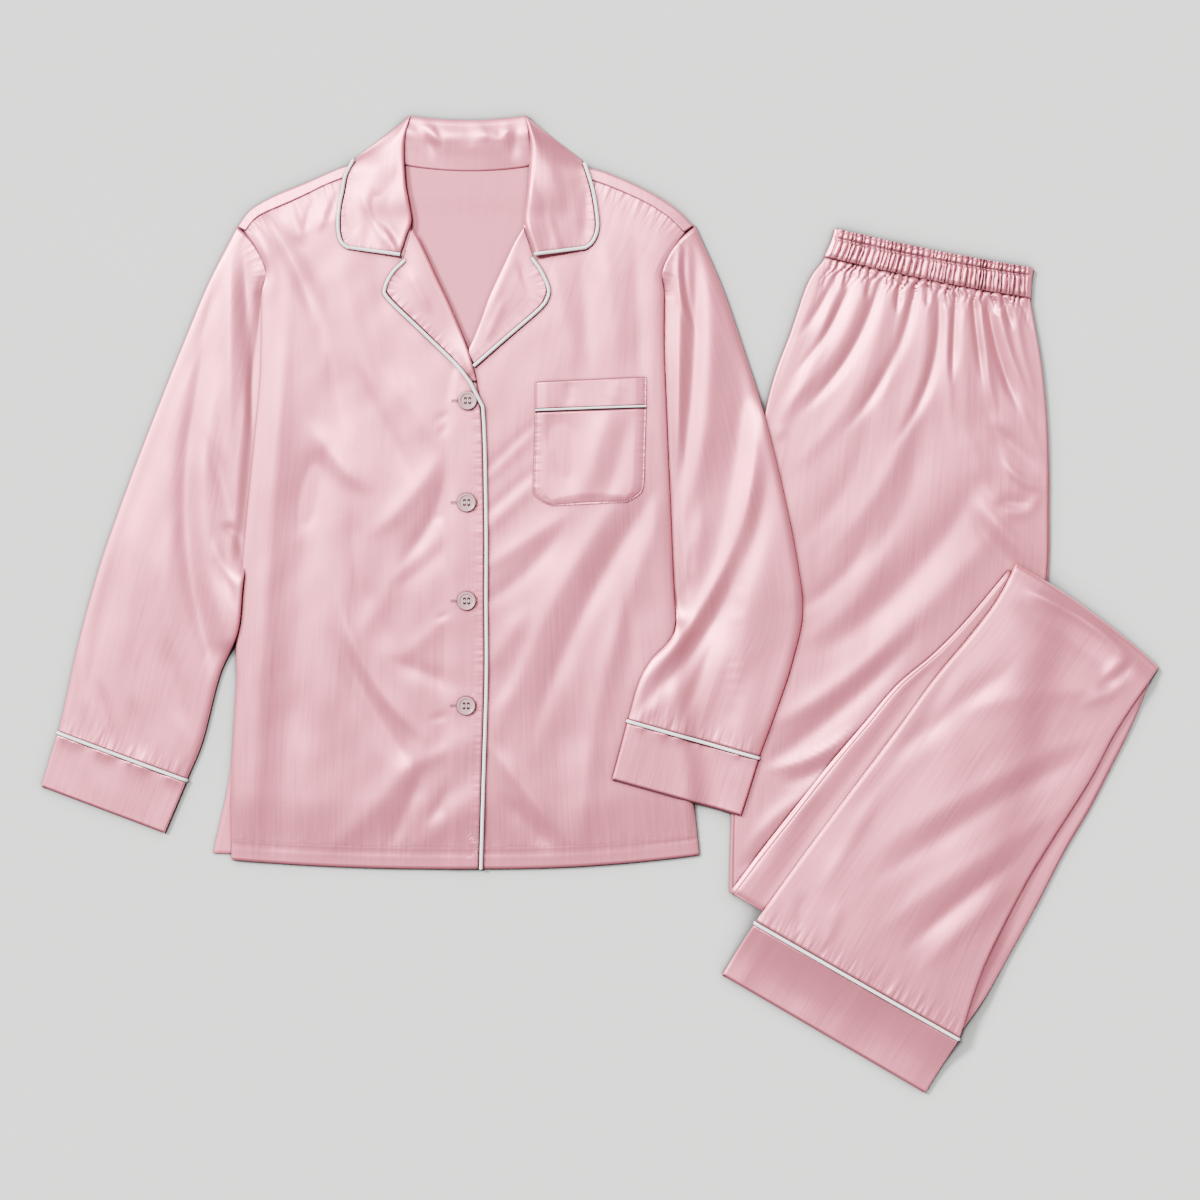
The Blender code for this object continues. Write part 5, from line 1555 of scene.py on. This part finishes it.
@dataclass
class Button:
    """A dished four-hole button, turned and drilled, with its thread."""

    looks: Finishes
    radius: float = 9.0 * MM
    height: float = 2.6 * MM
    hole: float = 1.6 * MM  # radius of a hole
    spacing: float = 4.2 * MM
    gap: float = 0.2 * MM  # clearance over the cloth
    rim: float = 1.5 * MM
    dish: tuple[Pair, ...] = ((0.9 * MM, -0.8 * MM), (0.5 * MM, -0.15 * MM))  # inset, depth
    edge: float = 0.55 * MM
    edge_angle: float = math.radians(24)
    smooth_angle: float = math.radians(35)
    thread: float = 0.34 * MM  # radius of the thread
    thread_rise: float = 0.55 * MM
    thread_short: float = 0.6 * MM
    thread_edge: float = 0.25 * MM

    def start(self, centre: Triple, sides: int, radius: float, depth: float,
              rotation: Triple = (0.0, 0.0, 0.0)) -> Piece:
        """A cylinder to shape, the only thing that is selected."""
        bpy.ops.object.select_all(action="DESELECT")
        bpy.ops.mesh.primitive_cylinder_add(vertices=sides, radius=radius, depth=depth, location=centre,
                                            rotation=rotation)
        return bpy.context.object

    def corners(self, centre: Triple) -> list[Triple]:
        """Middles of the four holes."""
        half = 0.5 * self.spacing
        x, y, z = centre
        return [(x + dx, y + dy, z) for dx in (-half, half) for dy in (-half, half)]

    def blank(self, name: str, centre: Triple) -> Piece:
        """A turned button with a rounded rim and a dished middle."""
        obj = self.start(centre, 40, self.radius, self.height)
        obj.name = name
        bpy.ops.object.mode_set(mode="EDIT")
        shape = bmesh.from_edit_mesh(obj.data)
        for face in shape.faces:
            face.select = face.normal.z > 0.9
        bmesh.update_edit_mesh(obj.data)
        bpy.ops.mesh.inset(thickness=self.rim)
        for inset, depth in self.dish:
            bpy.ops.mesh.inset(thickness=inset, depth=depth)
        bpy.ops.object.mode_set(mode="OBJECT")
        edge = obj.modifiers.new("edge", "BEVEL")
        edge.width = self.edge
        edge.segments = 3
        edge.limit_method = "ANGLE"
        edge.angle_limit = self.edge_angle
        bpy.ops.object.modifier_apply(modifier=edge.name)
        return obj

    def drill(self, obj: Piece, centre: Triple) -> None:
        """Cut the four holes."""
        for spot in self.corners(centre):
            bit = self.start(spot, 16, self.hole, 4 * self.height)
            cut = obj.modifiers.new("hole", "BOOLEAN")
            cut.object = bit
            cut.operation = "DIFFERENCE"
            bpy.context.view_layer.objects.active = obj
            bpy.ops.object.modifier_apply(modifier=cut.name)
            bpy.data.objects.remove(bit, do_unlink=True)

    def bars(self, name: str, centre: Triple) -> Piece:
        """Two bars of thread from hole to hole."""
        made = []
        for dx in (-0.5, 0.5):
            spot = (centre[0] + dx * self.spacing, centre[1], centre[2] + self.thread_rise)
            made.append(self.start(spot, 10, self.thread, self.spacing - self.thread_short,
                                   (math.pi / 2, 0.0, 0.0)))
            bpy.ops.object.mode_set(mode="EDIT")
            bpy.ops.mesh.select_all(action="SELECT")
            bpy.ops.mesh.bevel(offset=self.thread_edge, segments=2)
            bpy.ops.object.mode_set(mode="OBJECT")
        for obj in made:
            obj.select_set(True)
        bpy.ops.object.join()
        bpy.context.object.name = name
        return bpy.context.object

    def build(self, number: int, place: Pair) -> None:
        """One button, sewn on.

        Args:
            number: Its number, from the collar down.
            place: Its place in millimetres.
        """
        x, y = place[0] * MM, place[1] * MM
        angles = np.linspace(0, math.tau, 12)
        under = STACK.top(x + self.radius * np.cos(angles), y + self.radius * np.sin(angles), 1).max()
        centre = (x, y, float(under) + self.gap + self.height / 2)
        button = self.blank(f"shell_button_{number}", centre)
        self.drill(button, centre)
        thread = self.bars(f"button_thread_{number}", centre)
        for obj, material in ((button, self.looks.shell), (thread, self.looks.pale_thread)):
            bpy.ops.object.select_all(action="DESELECT")
            obj.select_set(True)
            bpy.context.view_layer.objects.active = obj
            bpy.ops.object.transform_apply(location=True, rotation=True, scale=True)
            bpy.ops.object.shade_smooth_by_angle(angle=self.smooth_angle)
            obj.data.materials.clear()
            obj.data.materials.append(material)
        LEDGER.enter(button, [f"button_{number}"])
        LEDGER.enter(thread)


@dataclass
class TubeCut:
    """How a flattened tube of cloth is made."""

    height: float
    step: float = 2.8 * MM
    crown: float = 0.0  # how much its middle stands higher
    rim: float = 1.8 * MM  # inset of its edge rounding
    creases: Sequence[Crease] = ()
    seams: Sequence[SeamLine] = ()
    seed: int = 1
    start: End = End.OPEN
    end: End = End.OPEN
    layers: bool = False
    fine_along: Sequence[float] = ()  # distances along it that need close stations
    columns: int | None = None  # points across its top, when the step isn't to set them
    ripple: PlaceRule | None = None  # extra height from (share across, distance along)
    hem_back: float = 0.0  # how far the top layer ends before the bottom one
    step_left: Sequence[float] = (0.0, 0.0)  # the upper layer's inset along the left edge, in millimetres
    step_right: Sequence[float] = (0.0, 0.0)
    clear: PlaceRule | None = None  # where it goes down beside a neighbour, as Lie's
    level_above: float = 1.0  # the place along Y from which it stays level beside it
    rounds: int = 150
    soft: int = 6
    sag: float = 0.036 * MM
    tuck: float = 0.5


class Tube:
    """A flattened tube of cloth, lying on the stack."""

    GAP = 0.4 * MM
    WALL = 0.6 * MM
    BOTTOM = 6  # spans across its underside
    FOLD_LINES = np.array([0.2, 0.6, 1.3, 2.4]) * MM
    FOLD_RADIUS = 5 * MM
    FOLD_LEAST = 0.04
    LOWER_RIM = 1.6 * MM
    LOWER_HALF = 0.24  # of the whole height
    UPPER_MIDDLE = 0.76
    FLAT_EDGE = 2.0
    RIPPLE_EDGE = 6.0
    DEEPEST = 0.6
    BESIDE_DROP = 0.8
    LEVEL_EASE = 26 * MM
    TUCKS = (3.0 * MM, 1.2 * MM)
    TUCK_SHARES = (0.0, 0.35)

    def __init__(self, sections: Sequence[Section], cut: TubeCut, start: "Tube | None" = None) -> None:
        """Lay the tube on the stack.

        Args:
            sections: Its outline.
            cut: How it is made.
            start: The tube that it hangs on from.
        """
        self.plan = Plan(sections)
        self.cut = cut
        self.lie = Lie(self.plan, self.GAP, cut.rounds, cut.sag, cut.soft, start and start.lie, cut.clear)
        self.v = stations(self.plan.length, cut.step, cut.fine_along)
        if cut.start is End.FOLDED:
            self.v = np.union1d(self.v, self.FOLD_LINES / self.plan.length)
        if cut.end is End.FOLDED:
            self.v = np.union1d(self.v, 1.0 - self.FOLD_LINES / self.plan.length)
        self.points, self.seam = self.surface()

    def profile(self) -> tuple[Array, Array, Array]:
        """Inset, level and upper-layer share of the edge's points, from the bottom to the top."""
        if not self.cut.layers:
            turn = np.radians(np.linspace(-90, 90, 11))
            return self.cut.rim * (1.0 - np.cos(turn)), 0.5 + 0.5 * np.sin(turn), np.zeros(11)
        turn = np.radians(np.linspace(-90, 80, 6))
        half = self.LOWER_HALF
        low = (self.LOWER_RIM * (1.0 - np.cos(turn)), half + half * np.sin(turn), np.zeros(6))
        turn = np.radians(np.linspace(-75, 90, 7))
        high = (self.cut.rim * (1.0 - np.cos(turn)), self.UPPER_MIDDLE + half * np.sin(turn), np.ones(7))
        return tuple(np.concatenate(pair) for pair in zip(low, high))

    def rings(self) -> tuple[Array, Array]:
        """Shares across and levels of the points of each ring: left edge, top, right edge, underside."""
        cut, v = self.cut, self.v
        inset, level, upper = self.profile()
        width = self.plan.width(v)[:, None]
        left_step, right_step = (np.interp(v, np.linspace(0, 1, len(steps)), steps)[:, None] * MM
                                 for steps in (cut.step_left, cut.step_right))
        count = cut.columns or max(6, round(self.plan.mean_width / cut.step))
        top = np.linspace(0.0, 1.0, count + 1)[1:-1][None]
        bottom = np.linspace(1.0, 0.0, self.BOTTOM + 1)[1:-1][None]
        left = inset[None] + left_step * upper[None]
        right = width - (inset[None] + right_step * upper[None])[:, ::-1]
        top_left, top_right = left[:, -1:], right[:, :1]
        middle = top_left + (top_right - top_left) * top
        under = inset[0] + (width - 2 * inset[0]) * bottom
        levels = np.concatenate([level, np.ones(count - 1), level[::-1], np.zeros(self.BOTTOM - 1)])
        return np.concatenate([left, middle, right, under], axis=1) / width, levels

    def rise(self, u: Array, places: Array, puckers: Array, scale: Array) -> Array:
        """How much the top stands above its plain height.

        Args:
            u: Shares across of the points of each ring.
            places: Their places.
            puckers: Height of the puckers there.
            scale: Height share of each station.

        Returns:
            The rise at each point.
        """
        cut = self.cut
        x, y = places[..., 0], places[..., 1]
        inside = np.clip(u, 0, 1)
        span = 4.0 * inside * (1.0 - inside)
        edge = np.clip(span * self.FLAT_EDGE, 0.0, 1.0)
        rise = (CREASE_SHAPE.height(x, y, cut.creases) + Undulation(cut.seed).at(x, y)) * edge * scale
        rise += puckers * edge + cut.crown * span * scale
        if cut.clear is not None:
            level = smoothstep((y - cut.level_above) / self.LEVEL_EASE)
            rise -= self.BESIDE_DROP * cut.height * cut.clear(inside, places) * (1.0 - level)
        if cut.ripple is not None:
            along = self.v[:, None] * self.plan.length
            rise += cut.ripple(inside, along) * smoothstep(span * self.RIPPLE_EDGE)
        return np.maximum(rise, -self.DEEPEST * (cut.height * scale))

    def surface(self) -> tuple[Array, Array]:
        """All the points and their seam attribute, one ring for each station."""
        cut, v = self.cut, self.v
        u, levels = self.rings()
        on_top = smoothstep((levels - 0.5) / 0.5)[None]
        back = v[:, None] * (1.0 - on_top * cut.hem_back / self.plan.length)
        places = self.places(u, back)
        seam, puckers = seam_attribute(places[..., 0], places[..., 1], cut.seams)
        scale = self.end_scale()[:, None]
        rise = self.rise(u, places, puckers, scale)
        z = self.lie.at(np.clip(u, 0, 1), v) + cut.height * scale * levels[None] + on_top * rise
        points = np.dstack([places, np.maximum(z, 0.0)])
        if cut.start is End.TUCKED:
            return self.tucked(points, seam)
        return points, seam

    def tucked(self, points: Array, seam: Array) -> tuple[Array, Array]:
        """The rings with two more before the first, lower and back under the neighbouring piece."""
        way = self.plan.at(np.array([0.5]), np.array([0.0, 0.04]))[:, 0]
        way = unit(way[0] - way[1])
        low = self.lie.at(np.array([0.5]), np.array([0.0]))[0, 0]
        rings = []
        for back, least in zip(self.TUCKS, self.TUCK_SHARES):
            ring = points[0].copy()
            ring[:, :2] += way * back
            ring[:, 2] = low + (ring[:, 2] - low) * (least + (1.0 - least) * self.cut.tuck)
            rings.append(ring[None])
        return np.concatenate([*rings, points]), np.concatenate([seam[:1], seam[:1], seam])

    def places(self, u: Array, v: Array) -> Array:
        """Places for shares u at stations v, where the top layer's are moved back from the hem."""
        grid = self.plan.at(u, self.v)
        if self.cut.hem_back == 0.0:
            return grid
        back = self.cut.hem_back / self.plan.length
        shifted = self.plan.at(u, np.maximum(self.v - back, 0.0))
        return grid + (shifted - grid) * np.clip((self.v[:, None] - v) / back, 0.0, 1.0)[..., None]

    def end_scale(self) -> Array:
        """Height share of each station, low where an end is folded."""
        scale = np.ones(len(self.v))
        for end, v in ((self.cut.start, self.v), (self.cut.end, 1.0 - self.v)):
            if end is End.FOLDED:
                full = rounded(v * self.plan.length, self.FOLD_RADIUS)
                scale *= self.FOLD_LEAST + (1.0 - self.FOLD_LEAST) * full
        return scale

    def make(self, name: str, node: str, material: Material, rests_on: Sequence[str] = ()) -> None:
        """Make the tube as a wall of cloth.

        Args:
            name: The piece's name.
            node: The CAD node that it replaces.
            material: The cloth's material.
            rests_on: The pieces that it lies on.
        """
        grid = GridMesh()
        grid.add(self.points, self.seam, closed=True)
        obj = grid.make(name, [material])
        thicken(obj, self.WALL)
        flat = (2.0 * self.plan.mean_width, self.plan.length)
        area = grid_area(np.concatenate([self.points, self.points[:, :1]], axis=1))
        LEDGER.cloth(obj, node, flat, "folded" if self.cut.layers else "laid", rests_on, area)

    def lay(self) -> "Tube":
        """Add the tube to the stack."""
        STACK.add(self.points)
        return self


@dataclass
class SeamCord:
    """The piping round the seam at the end of a tube."""

    looks: Finishes
    bite: float = 0.1 * MM  # into the tube's end
    sink: float = 0.2 * MM

    def build(self, name: str, before: Tube, node: str) -> None:
        """Lay the piping round.

        Args:
            name: The piece's name.
            before: The tube that it is sewn to.
            node: The CAD node that it replaces.
        """
        ring = before.points[-1].copy()
        beyond = before.plan.at(np.array([0.5]), np.array([0.96, 1.0]))[:, 0]
        ring[:, :2] += unit(beyond[1] - beyond[0]) * (PIPING_RADIUS - self.bite)
        ring[:, 2] = np.maximum(ring[:, 2] - self.sink, PIPING_RADIUS)
        Trim(self.looks).cord(name, ring, node, cyclic=True)


@dataclass
class Sleeve:
    """One sleeve with its cuff and the piping in the cuff's seam."""

    looks: Finishes
    side: Side
    seed: int
    height: float = 5.4 * MM
    crown: float = 1.2 * MM
    rim: float = 8.0 * MM
    cuff_height: float = 5.0 * MM
    cuff_hem_back: float = 1.6 * MM
    cuff_hem: float = 0.985
    slope_start: float = 17 * MM  # its margin goes down from here to pass below the front's edge
    slope: float = 15 * MM
    beside: tuple[Pair, ...] = ((20 * MM, 60 * MM), (-30 * MM, 10 * MM))  # from Y, fully at Y
    level_above: float = 308 * MM
    under: float = 4.5  # millimetres that it reaches below the front's edge
    under_sections: int = 6
    under_ease: float = 2.0

    def beside_body(self, _u: Array, places: Array) -> Array:
        """How far each place belongs to the sleeve's margin beside the body, 0 to 1."""
        low, high = self.beside[self.side.value]
        right = self.side is Side.RIGHT
        edge = np.array([row[:2] if right else row[2:4] for row in FRONTS[self.side]]) * MM
        x, y = places[..., 0], places[..., 1]
        line = np.interp(y, edge[:, 1], edge[:, 0])
        past = x - line if right else line - x
        return smoothstep((past + self.slope_start) / self.slope) * smoothstep((y - low) / (high - low))

    def under_body(self) -> list[Section]:
        """The sections, widened beside the body so that they reach under the front's edge."""
        wider = []
        for number, section in enumerate(SLEEVES[self.side]):
            more = self.under * min(1.0, max(0.0, (self.under_sections - number) / self.under_ease))
            if self.side is Side.RIGHT:
                wider.append(section._replace(right_x=section.right_x + more))
            else:
                wider.append(section._replace(left_x=section.left_x - more))
        return wider

    def build(self) -> None:
        """The sleeve, then its cuff and piping."""
        sections, cuff_sections = self.under_body(), CUFFS[self.side]
        word, seed, satin = self.side.word, self.seed, self.looks.satin
        seam, armhole = (Plan(sections).station(*where) for where in ((1.0, 14), (0.0, 10)))
        hem = Plan(cuff_sections).station(self.cuff_hem, 14)
        sleeve = Tube(sections, TubeCut(
            self.height, crown=self.crown, rim=self.rim, clear=self.beside_body, start=End.TUCKED,
            level_above=self.level_above, creases=SLEEVE_CREASES, seed=seed,
            seams=[SeamLine(seam, 1.0, 15 * MM, seed, 7 * MM, 0.45 * MM),
                   SeamLine(armhole, 0.5, 12 * MM, seed + 1, 12 * MM, 0.3 * MM)]))
        sleeve.lay().make("sleeve_cloth_" + word, "sleeve_" + word, satin, ["shirt_body_back"])
        cuff = Tube(cuff_sections, TubeCut(
            self.cuff_height, 2.0 * MM, seed=seed + 2, hem_back=self.cuff_hem_back,
            seams=[SeamLine(seam, 0.4, 6 * MM, seed + 3, 9 * MM, 0.15 * MM),
                   SeamLine(hem, 0.3, 5 * MM, seed + 4, 12 * MM, 0.1 * MM)]), sleeve)
        cuff.lay().make("cuff_cloth_" + word, "cuff_" + word, satin)
        SeamCord(self.looks).build("cuff_piping_" + word, sleeve, "piping_cuff_" + word)


def ridges(chance: np.random.Generator, count: int, widths: Pair, at: Array) -> Array:
    """How many ridges lie before each share across, their widths uneven within a range."""
    edges = np.concatenate([[0.0], np.cumsum(chance.uniform(*widths, count))])
    return np.interp(at, edges / edges[-1], np.arange(count + 1))


@dataclass
class Elastic:
    """The waistband's ribs, in two channels with a seam between them."""

    ribs: int = 44
    depth: float = 3.0 * MM
    length: float = 29 * MM
    widths: Pair = (0.5, 1.5)
    sizes: Pair = (0.5, 1.25)
    power: float = 0.6  # roundness of a rib, 1 for a plain wave
    seam: float = 0.62  # share of the length
    seam_half: float = 3 * MM
    end_half: float = 2.5 * MM
    held: float = 0.3  # of its height, in a seam
    shift: float = 0.008  # how far the second channel's ribs lie beside the first's
    shift_from: float = 0.56
    shift_ease: float = 0.1
    sway: float = 0.0015
    sway_across: float = 160.0
    sway_along: float = 3 * MM

    def height(self, u: Array, along: Array) -> Array:
        """Height of the ribs.

        Args:
            u: Shares across.
            along: Distances from the top.

        Returns:
            The height at each place.
        """
        chance = np.random.default_rng(7)
        moved = u + self.shift * smoothstep((along / self.length - self.shift_from) / self.shift_ease)
        moved = moved + self.sway * np.sin(self.sway_across * u + along / self.sway_along)
        phase = ridges(chance, self.ribs, self.widths, moved)
        sizes = chance.uniform(*self.sizes, self.ribs + 1)[np.clip(phase.astype(int), 0, self.ribs)]
        free = np.minimum(np.abs(along - self.seam * self.length), np.abs(along)) / self.seam_half
        free = smoothstep(np.minimum(free, np.abs(along - self.length) / self.end_half))
        ribs = self.depth * sizes * np.abs(np.sin(math.pi * phase)) ** self.power
        return ribs * (self.held + (1.0 - self.held) * free)


@dataclass
class Gathers:
    """The gathers below the waistband, uneven in size, place and length."""

    count: int = 30
    depth: float = 3.6 * MM
    widths: Pair = (0.4, 1.6)
    sizes: Pair = (0.5, 1.3)
    reaches: Pair = (14, 62)
    power: float = 0.6
    level: float = 0.75
    sway: float = 0.006
    sway_along: float = 90.0
    sway_across: float = 40.0

    def height(self, u: Array, along: Array) -> Array:
        """Height of the gathers.

        Args:
            u: Shares across.
            along: Distances from the waistband.

        Returns:
            The height at each place.
        """
        chance = np.random.default_rng(17)
        moved = u + self.sway * np.sin(along * self.sway_along + u * self.sway_across)
        phase = ridges(chance, self.count, self.widths, moved)
        pick = np.clip(phase.astype(int), 0, self.count - 1)
        reach = chance.uniform(*self.reaches, self.count)[pick] * MM
        size = chance.uniform(*self.sizes, self.count)[pick]
        swell = np.abs(np.sin(math.pi * phase)) ** self.power - self.level
        return self.depth * size * swell * bell(along, reach)


@dataclass
class Trousers:
    """The folded trousers: waistband, three runs of the legs on each other, and the leg cuff."""

    looks: Finishes
    band_height: float = 5.4 * MM
    upper_height: float = 5.6 * MM
    middle_height: float = 5.0 * MM
    top_height: float = 5.2 * MM
    cuff_height: float = 5.6 * MM
    upper_crown: float = 2.4 * MM
    top_crown: float = 1.8 * MM
    rim: float = 0.9 * MM
    seam_points: int = 24
    middle_rounds: int = 300
    top_rounds: int = 420
    top_soft: int = 60
    cuff_hem_back: float = 1.8 * MM
    cuff_sag: float = 0.025 * MM

    def band(self) -> Tube:
        """The waistband, on two channels of elastic."""
        return Tube(WAISTBAND, TubeCut(
            self.band_height, 1.4 * MM, columns=370, ripple=Elastic().height, layers=True, seed=91,
            fine_along=[18 * MM]))

    def upper(self) -> Tube:
        """The run from the waistband to the first fold."""
        waist = Plan(TROUSERS_UPPER).station(0.0, self.seam_points)
        return Tube(TROUSERS_UPPER, TubeCut(
            self.upper_height, 3.4 * MM, crown=self.upper_crown, rim=self.rim, creases=TROUSER_CREASES,
            seed=92, layers=True, columns=175, ripple=Gathers().height, start=End.TUCKED, end=End.FOLDED,
            tuck=0.85, seams=[SeamLine(waist, 0.9, 22 * MM, 93, 7 * MM, 0.3 * MM)],
            step_left=(0.3, 0.3, 0.4, 1.0, 3.5, 4.8), step_right=(0.5, 1.0, 3.0, 2.0, 1.0)))

    def middle(self) -> Tube:
        """The run between both folds."""
        return Tube(TROUSERS_MIDDLE, TubeCut(
            self.middle_height, 2.8 * MM, rim=self.rim, seed=94, rounds=self.middle_rounds,
            creases=MIDDLE_RUN_CREASES, layers=True, start=End.FOLDED, end=End.FOLDED,
            step_left=(4.5, 5.0, 4.0, 3.0, 1.5), step_right=(1.0, 1.5, 2.5, 1.0)))

    def top(self, hem: Array) -> Tube:
        """The run from the second fold to the seam of the leg cuff."""
        return Tube(TROUSERS_TOP, TubeCut(
            self.top_height, 2.7 * MM, crown=self.top_crown, rim=self.rim, rounds=self.top_rounds,
            soft=self.top_soft, creases=TOP_RUN_CREASES, seed=95, layers=True, start=End.FOLDED,
            seams=[SeamLine(hem, 1.0, 17 * MM, 96, 7 * MM, 0.4 * MM)],
            step_left=(0.5, 1.0, 1.0), step_right=(0.5, 1.2, 1.8, 1.2)))

    def cuff(self, top: Tube, hem: Array) -> Tube:
        """The leg cuff, which hangs on from the top run."""
        return Tube(LEG_CUFF, TubeCut(
            self.cuff_height, 2.2 * MM, rounds=self.top_rounds, soft=self.top_soft, sag=self.cuff_sag,
            creases=LEG_CUFF_CREASES, seed=98, hem_back=self.cuff_hem_back,
            seams=[SeamLine(hem, 0.35, 7 * MM, 97, 10 * MM, 0.15 * MM)]), top)

    def build(self) -> None:
        """Build from the waistband to the leg cuff; the upper run goes below the waistband."""
        satin = self.looks.satin
        band = self.band()
        band.make("waist_casing", "waistband", satin)
        self.upper().lay().make("trouser_run_upper", "trousers_upper", satin)
        band.lay()
        self.middle().lay().make("trouser_run_middle", "trousers_middle", satin, ["trouser_run_upper"])
        hem = Plan(TROUSERS_TOP).station(1.0, self.seam_points)
        top = self.top(hem).lay()
        top.make("trouser_run_top", "trousers_top", satin, ["trouser_run_middle"])
        self.cuff(top, hem).lay().make("leg_cuff_cloth", "leg_cuff", satin, ["trouser_run_upper"])
        SeamCord(self.looks).build("leg_piping", top, "piping_leg_cuff")


@dataclass
class Needlework:
    """All the visible stitching."""

    looks: Finishes
    hem_points: int = 60
    slit_hem: tuple[Pair, ...] = ((87.5, -166.0), (88.5, -190.0), (91.0, -232.0))
    front_inset: float = 3.6 * MM
    edge_step: float = 4 * MM
    pocket_inset: float = 0.016  # shares of the pocket's width and length
    pocket_low: float = 0.018
    pocket_ends: Pair = (0.03, 0.97)
    band_rows: tuple[float, ...] = (0.03, 0.1, 0.64)  # shares of the waistband's length
    band_ends: Pair = (0.02, 0.98)
    leg_seam: float = 0.885  # share of the top run's width
    leg_ends: Pair = (0.03, 0.99)
    bars: int = 9  # pairs of stitches beside a buttonhole
    bar_start: float = -16.0
    bar_pitch: float = 0.8
    bar: Pair = (0.5, 1.9)
    # Ends of the painted shadow strip in each buttonhole's slit, in millimetres beside the button's middle.
    slit_shadow: Pair = (-16.4, -8.6)

    def shirt(self) -> None:
        """The hem's rows."""
        hem = Stitches()
        for sections, low, high in ((FRONT_RIGHT, 0.0, 0.985), (FRONT_LEFT, 0.16, 1.0)):
            plan = Plan(sections)
            hem.along(plan.station(HEM_LINE / plan.length, self.hem_points, low, high))
        hem.along(np.array(self.slit_hem) * MM)
        hem.make("hem_stitches", self.looks.thread)

    def edges(self) -> None:
        """The rows along the front edge and round the pocket."""
        edge = Stitches()
        edge.along(Plan(FRONT_RIGHT).edge(1.0, 6 * MM, 0.0, LAPEL_START) - (self.front_inset, 0.0))
        pocket, low, high = Plan(POCKET), self.pocket_inset, 1.0 - self.pocket_inset
        edge.along(np.concatenate([
            pocket.edge(low, self.edge_step)[::-1], pocket.station(self.pocket_low, 20, *self.pocket_ends),
            pocket.edge(high, self.edge_step)]))
        for share in (low, high):
            edge.along(Plan(POCKET_BAND).edge(share, self.edge_step))
        edge.make("edge_stitches", self.looks.thread)

    def trousers(self) -> None:
        """The waistband's rows and the seam down the leg."""
        rows = Stitches(length=2.0 * MM, pitch=2.8 * MM)
        for share in self.band_rows:
            rows.along(Plan(WAISTBAND).station(share, 90, *self.band_ends))
        rows.along(Plan(TROUSERS_TOP).at(np.array([self.leg_seam]), np.linspace(*self.leg_ends, 120))[:, 0])
        rows.make("trouser_stitches", self.looks.thread)

    def buttonholes(self) -> None:
        """The buttonholes beside the buttons, each with a dark strip of painted shadow along its slit."""
        holes, slits = Stitches(radius=0.26 * MM), Stitches(radius=0.45 * MM)
        for x, y in BUTTONS:
            for k in range(self.bars):
                spot = np.array([x + self.bar_start + self.bar_pitch * k, y]) * MM
                for side in (-MM, MM):
                    start, end = (spot + (0.0, side * away) for away in self.bar)
                    holes.single(start, end)
            start, end = (np.array((x + part, y)) * MM for part in self.slit_shadow)
            slits.single(start, end)
        holes.make("buttonhole_stitches", self.looks.thread)
        slits.make("buttonhole_slit_shadows", self.looks.slit_shadow)

    def sew(self) -> None:
        """Sew all of it."""
        self.shirt()
        self.edges()
        self.trousers()
        self.buttonholes()


@dataclass(frozen=True)
class Lamp:
    """One broad, distant light."""

    name: str
    side: float  # which way it comes from, in degrees from the wearer's left (+X) round to the collar
    tilt: float  # degrees from straight overhead
    spread: float  # how broad it looks, in degrees
    strength: float

    def hang(self, distance: float) -> None:
        """Put the light in the scene, at a distance from the set."""
        light = bpy.data.lights.new(self.name, "SUN")
        light.angle = math.radians(self.spread)
        light.energy = self.strength
        obj = put(self.name, light)
        side, tilt = math.radians(self.side), math.radians(self.tilt)
        way = Vector((math.cos(side) * math.sin(tilt), math.sin(side) * math.sin(tilt), math.cos(tilt)))
        obj.location = way * distance
        obj.rotation_euler = (-way).to_track_quat("-Z", "Y").to_euler()


@dataclass
class Studio:
    """Floor, light and camera."""

    floor_z: float = -0.2 * MM
    floor_size: float = 12.0
    camera_place: Triple = (-0.0002, 0.005, 2.4)
    lens: float = 72.0
    sensor: float = 36.0
    lamps: tuple[Lamp, ...] = (
        Lamp("key", 146.0, 51.0, 13.0, 6.2),
        Lamp("satin_light", 128.0, 24.0, 14.0, 3.75),
    )
    lamp_distance: float = 3.0
    sky: Triple = (0.80, 0.81, 0.82)
    sky_strength: float = 0.28

    def build(self, looks: Finishes) -> None:
        """Set the stage."""
        bpy.ops.mesh.primitive_plane_add(size=self.floor_size, location=(0.0, 0.0, self.floor_z))
        floor = bpy.context.object
        floor.name = "studio_floor"
        floor.data.materials.append(looks.floor)
        for lamp in self.lamps:
            lamp.hang(self.lamp_distance)
        world = bpy.data.worlds.new("studio")
        world.use_nodes = True
        background = world.node_tree.nodes["Background"]
        background.inputs["Color"].default_value = (*self.sky, 1.0)
        background.inputs["Strength"].default_value = self.sky_strength
        bpy.context.scene.world = world
        camera = bpy.data.cameras.new("camera")
        camera.lens = self.lens
        camera.sensor_width = self.sensor
        obj = put("camera", camera)
        obj.location = self.camera_place
        bpy.context.scene.camera = obj


def main() -> None:
    """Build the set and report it."""
    looks = Finishes()
    Studio().build(looks)
    Shirt(looks).build()
    LOG.info("shirt done")
    Trousers(looks).build()
    LOG.info("trousers done")
    Sleeve(looks, Side.RIGHT, 71).build()
    Sleeve(looks, Side.LEFT, 81).build()
    for number, place in enumerate(BUTTONS, 1):
        Button(looks).build(number, place)
    Needlework(looks).sew()
    LOG.info("%d triangles in all", LEDGER.triangles)


if __name__ == "__main__":
    main()
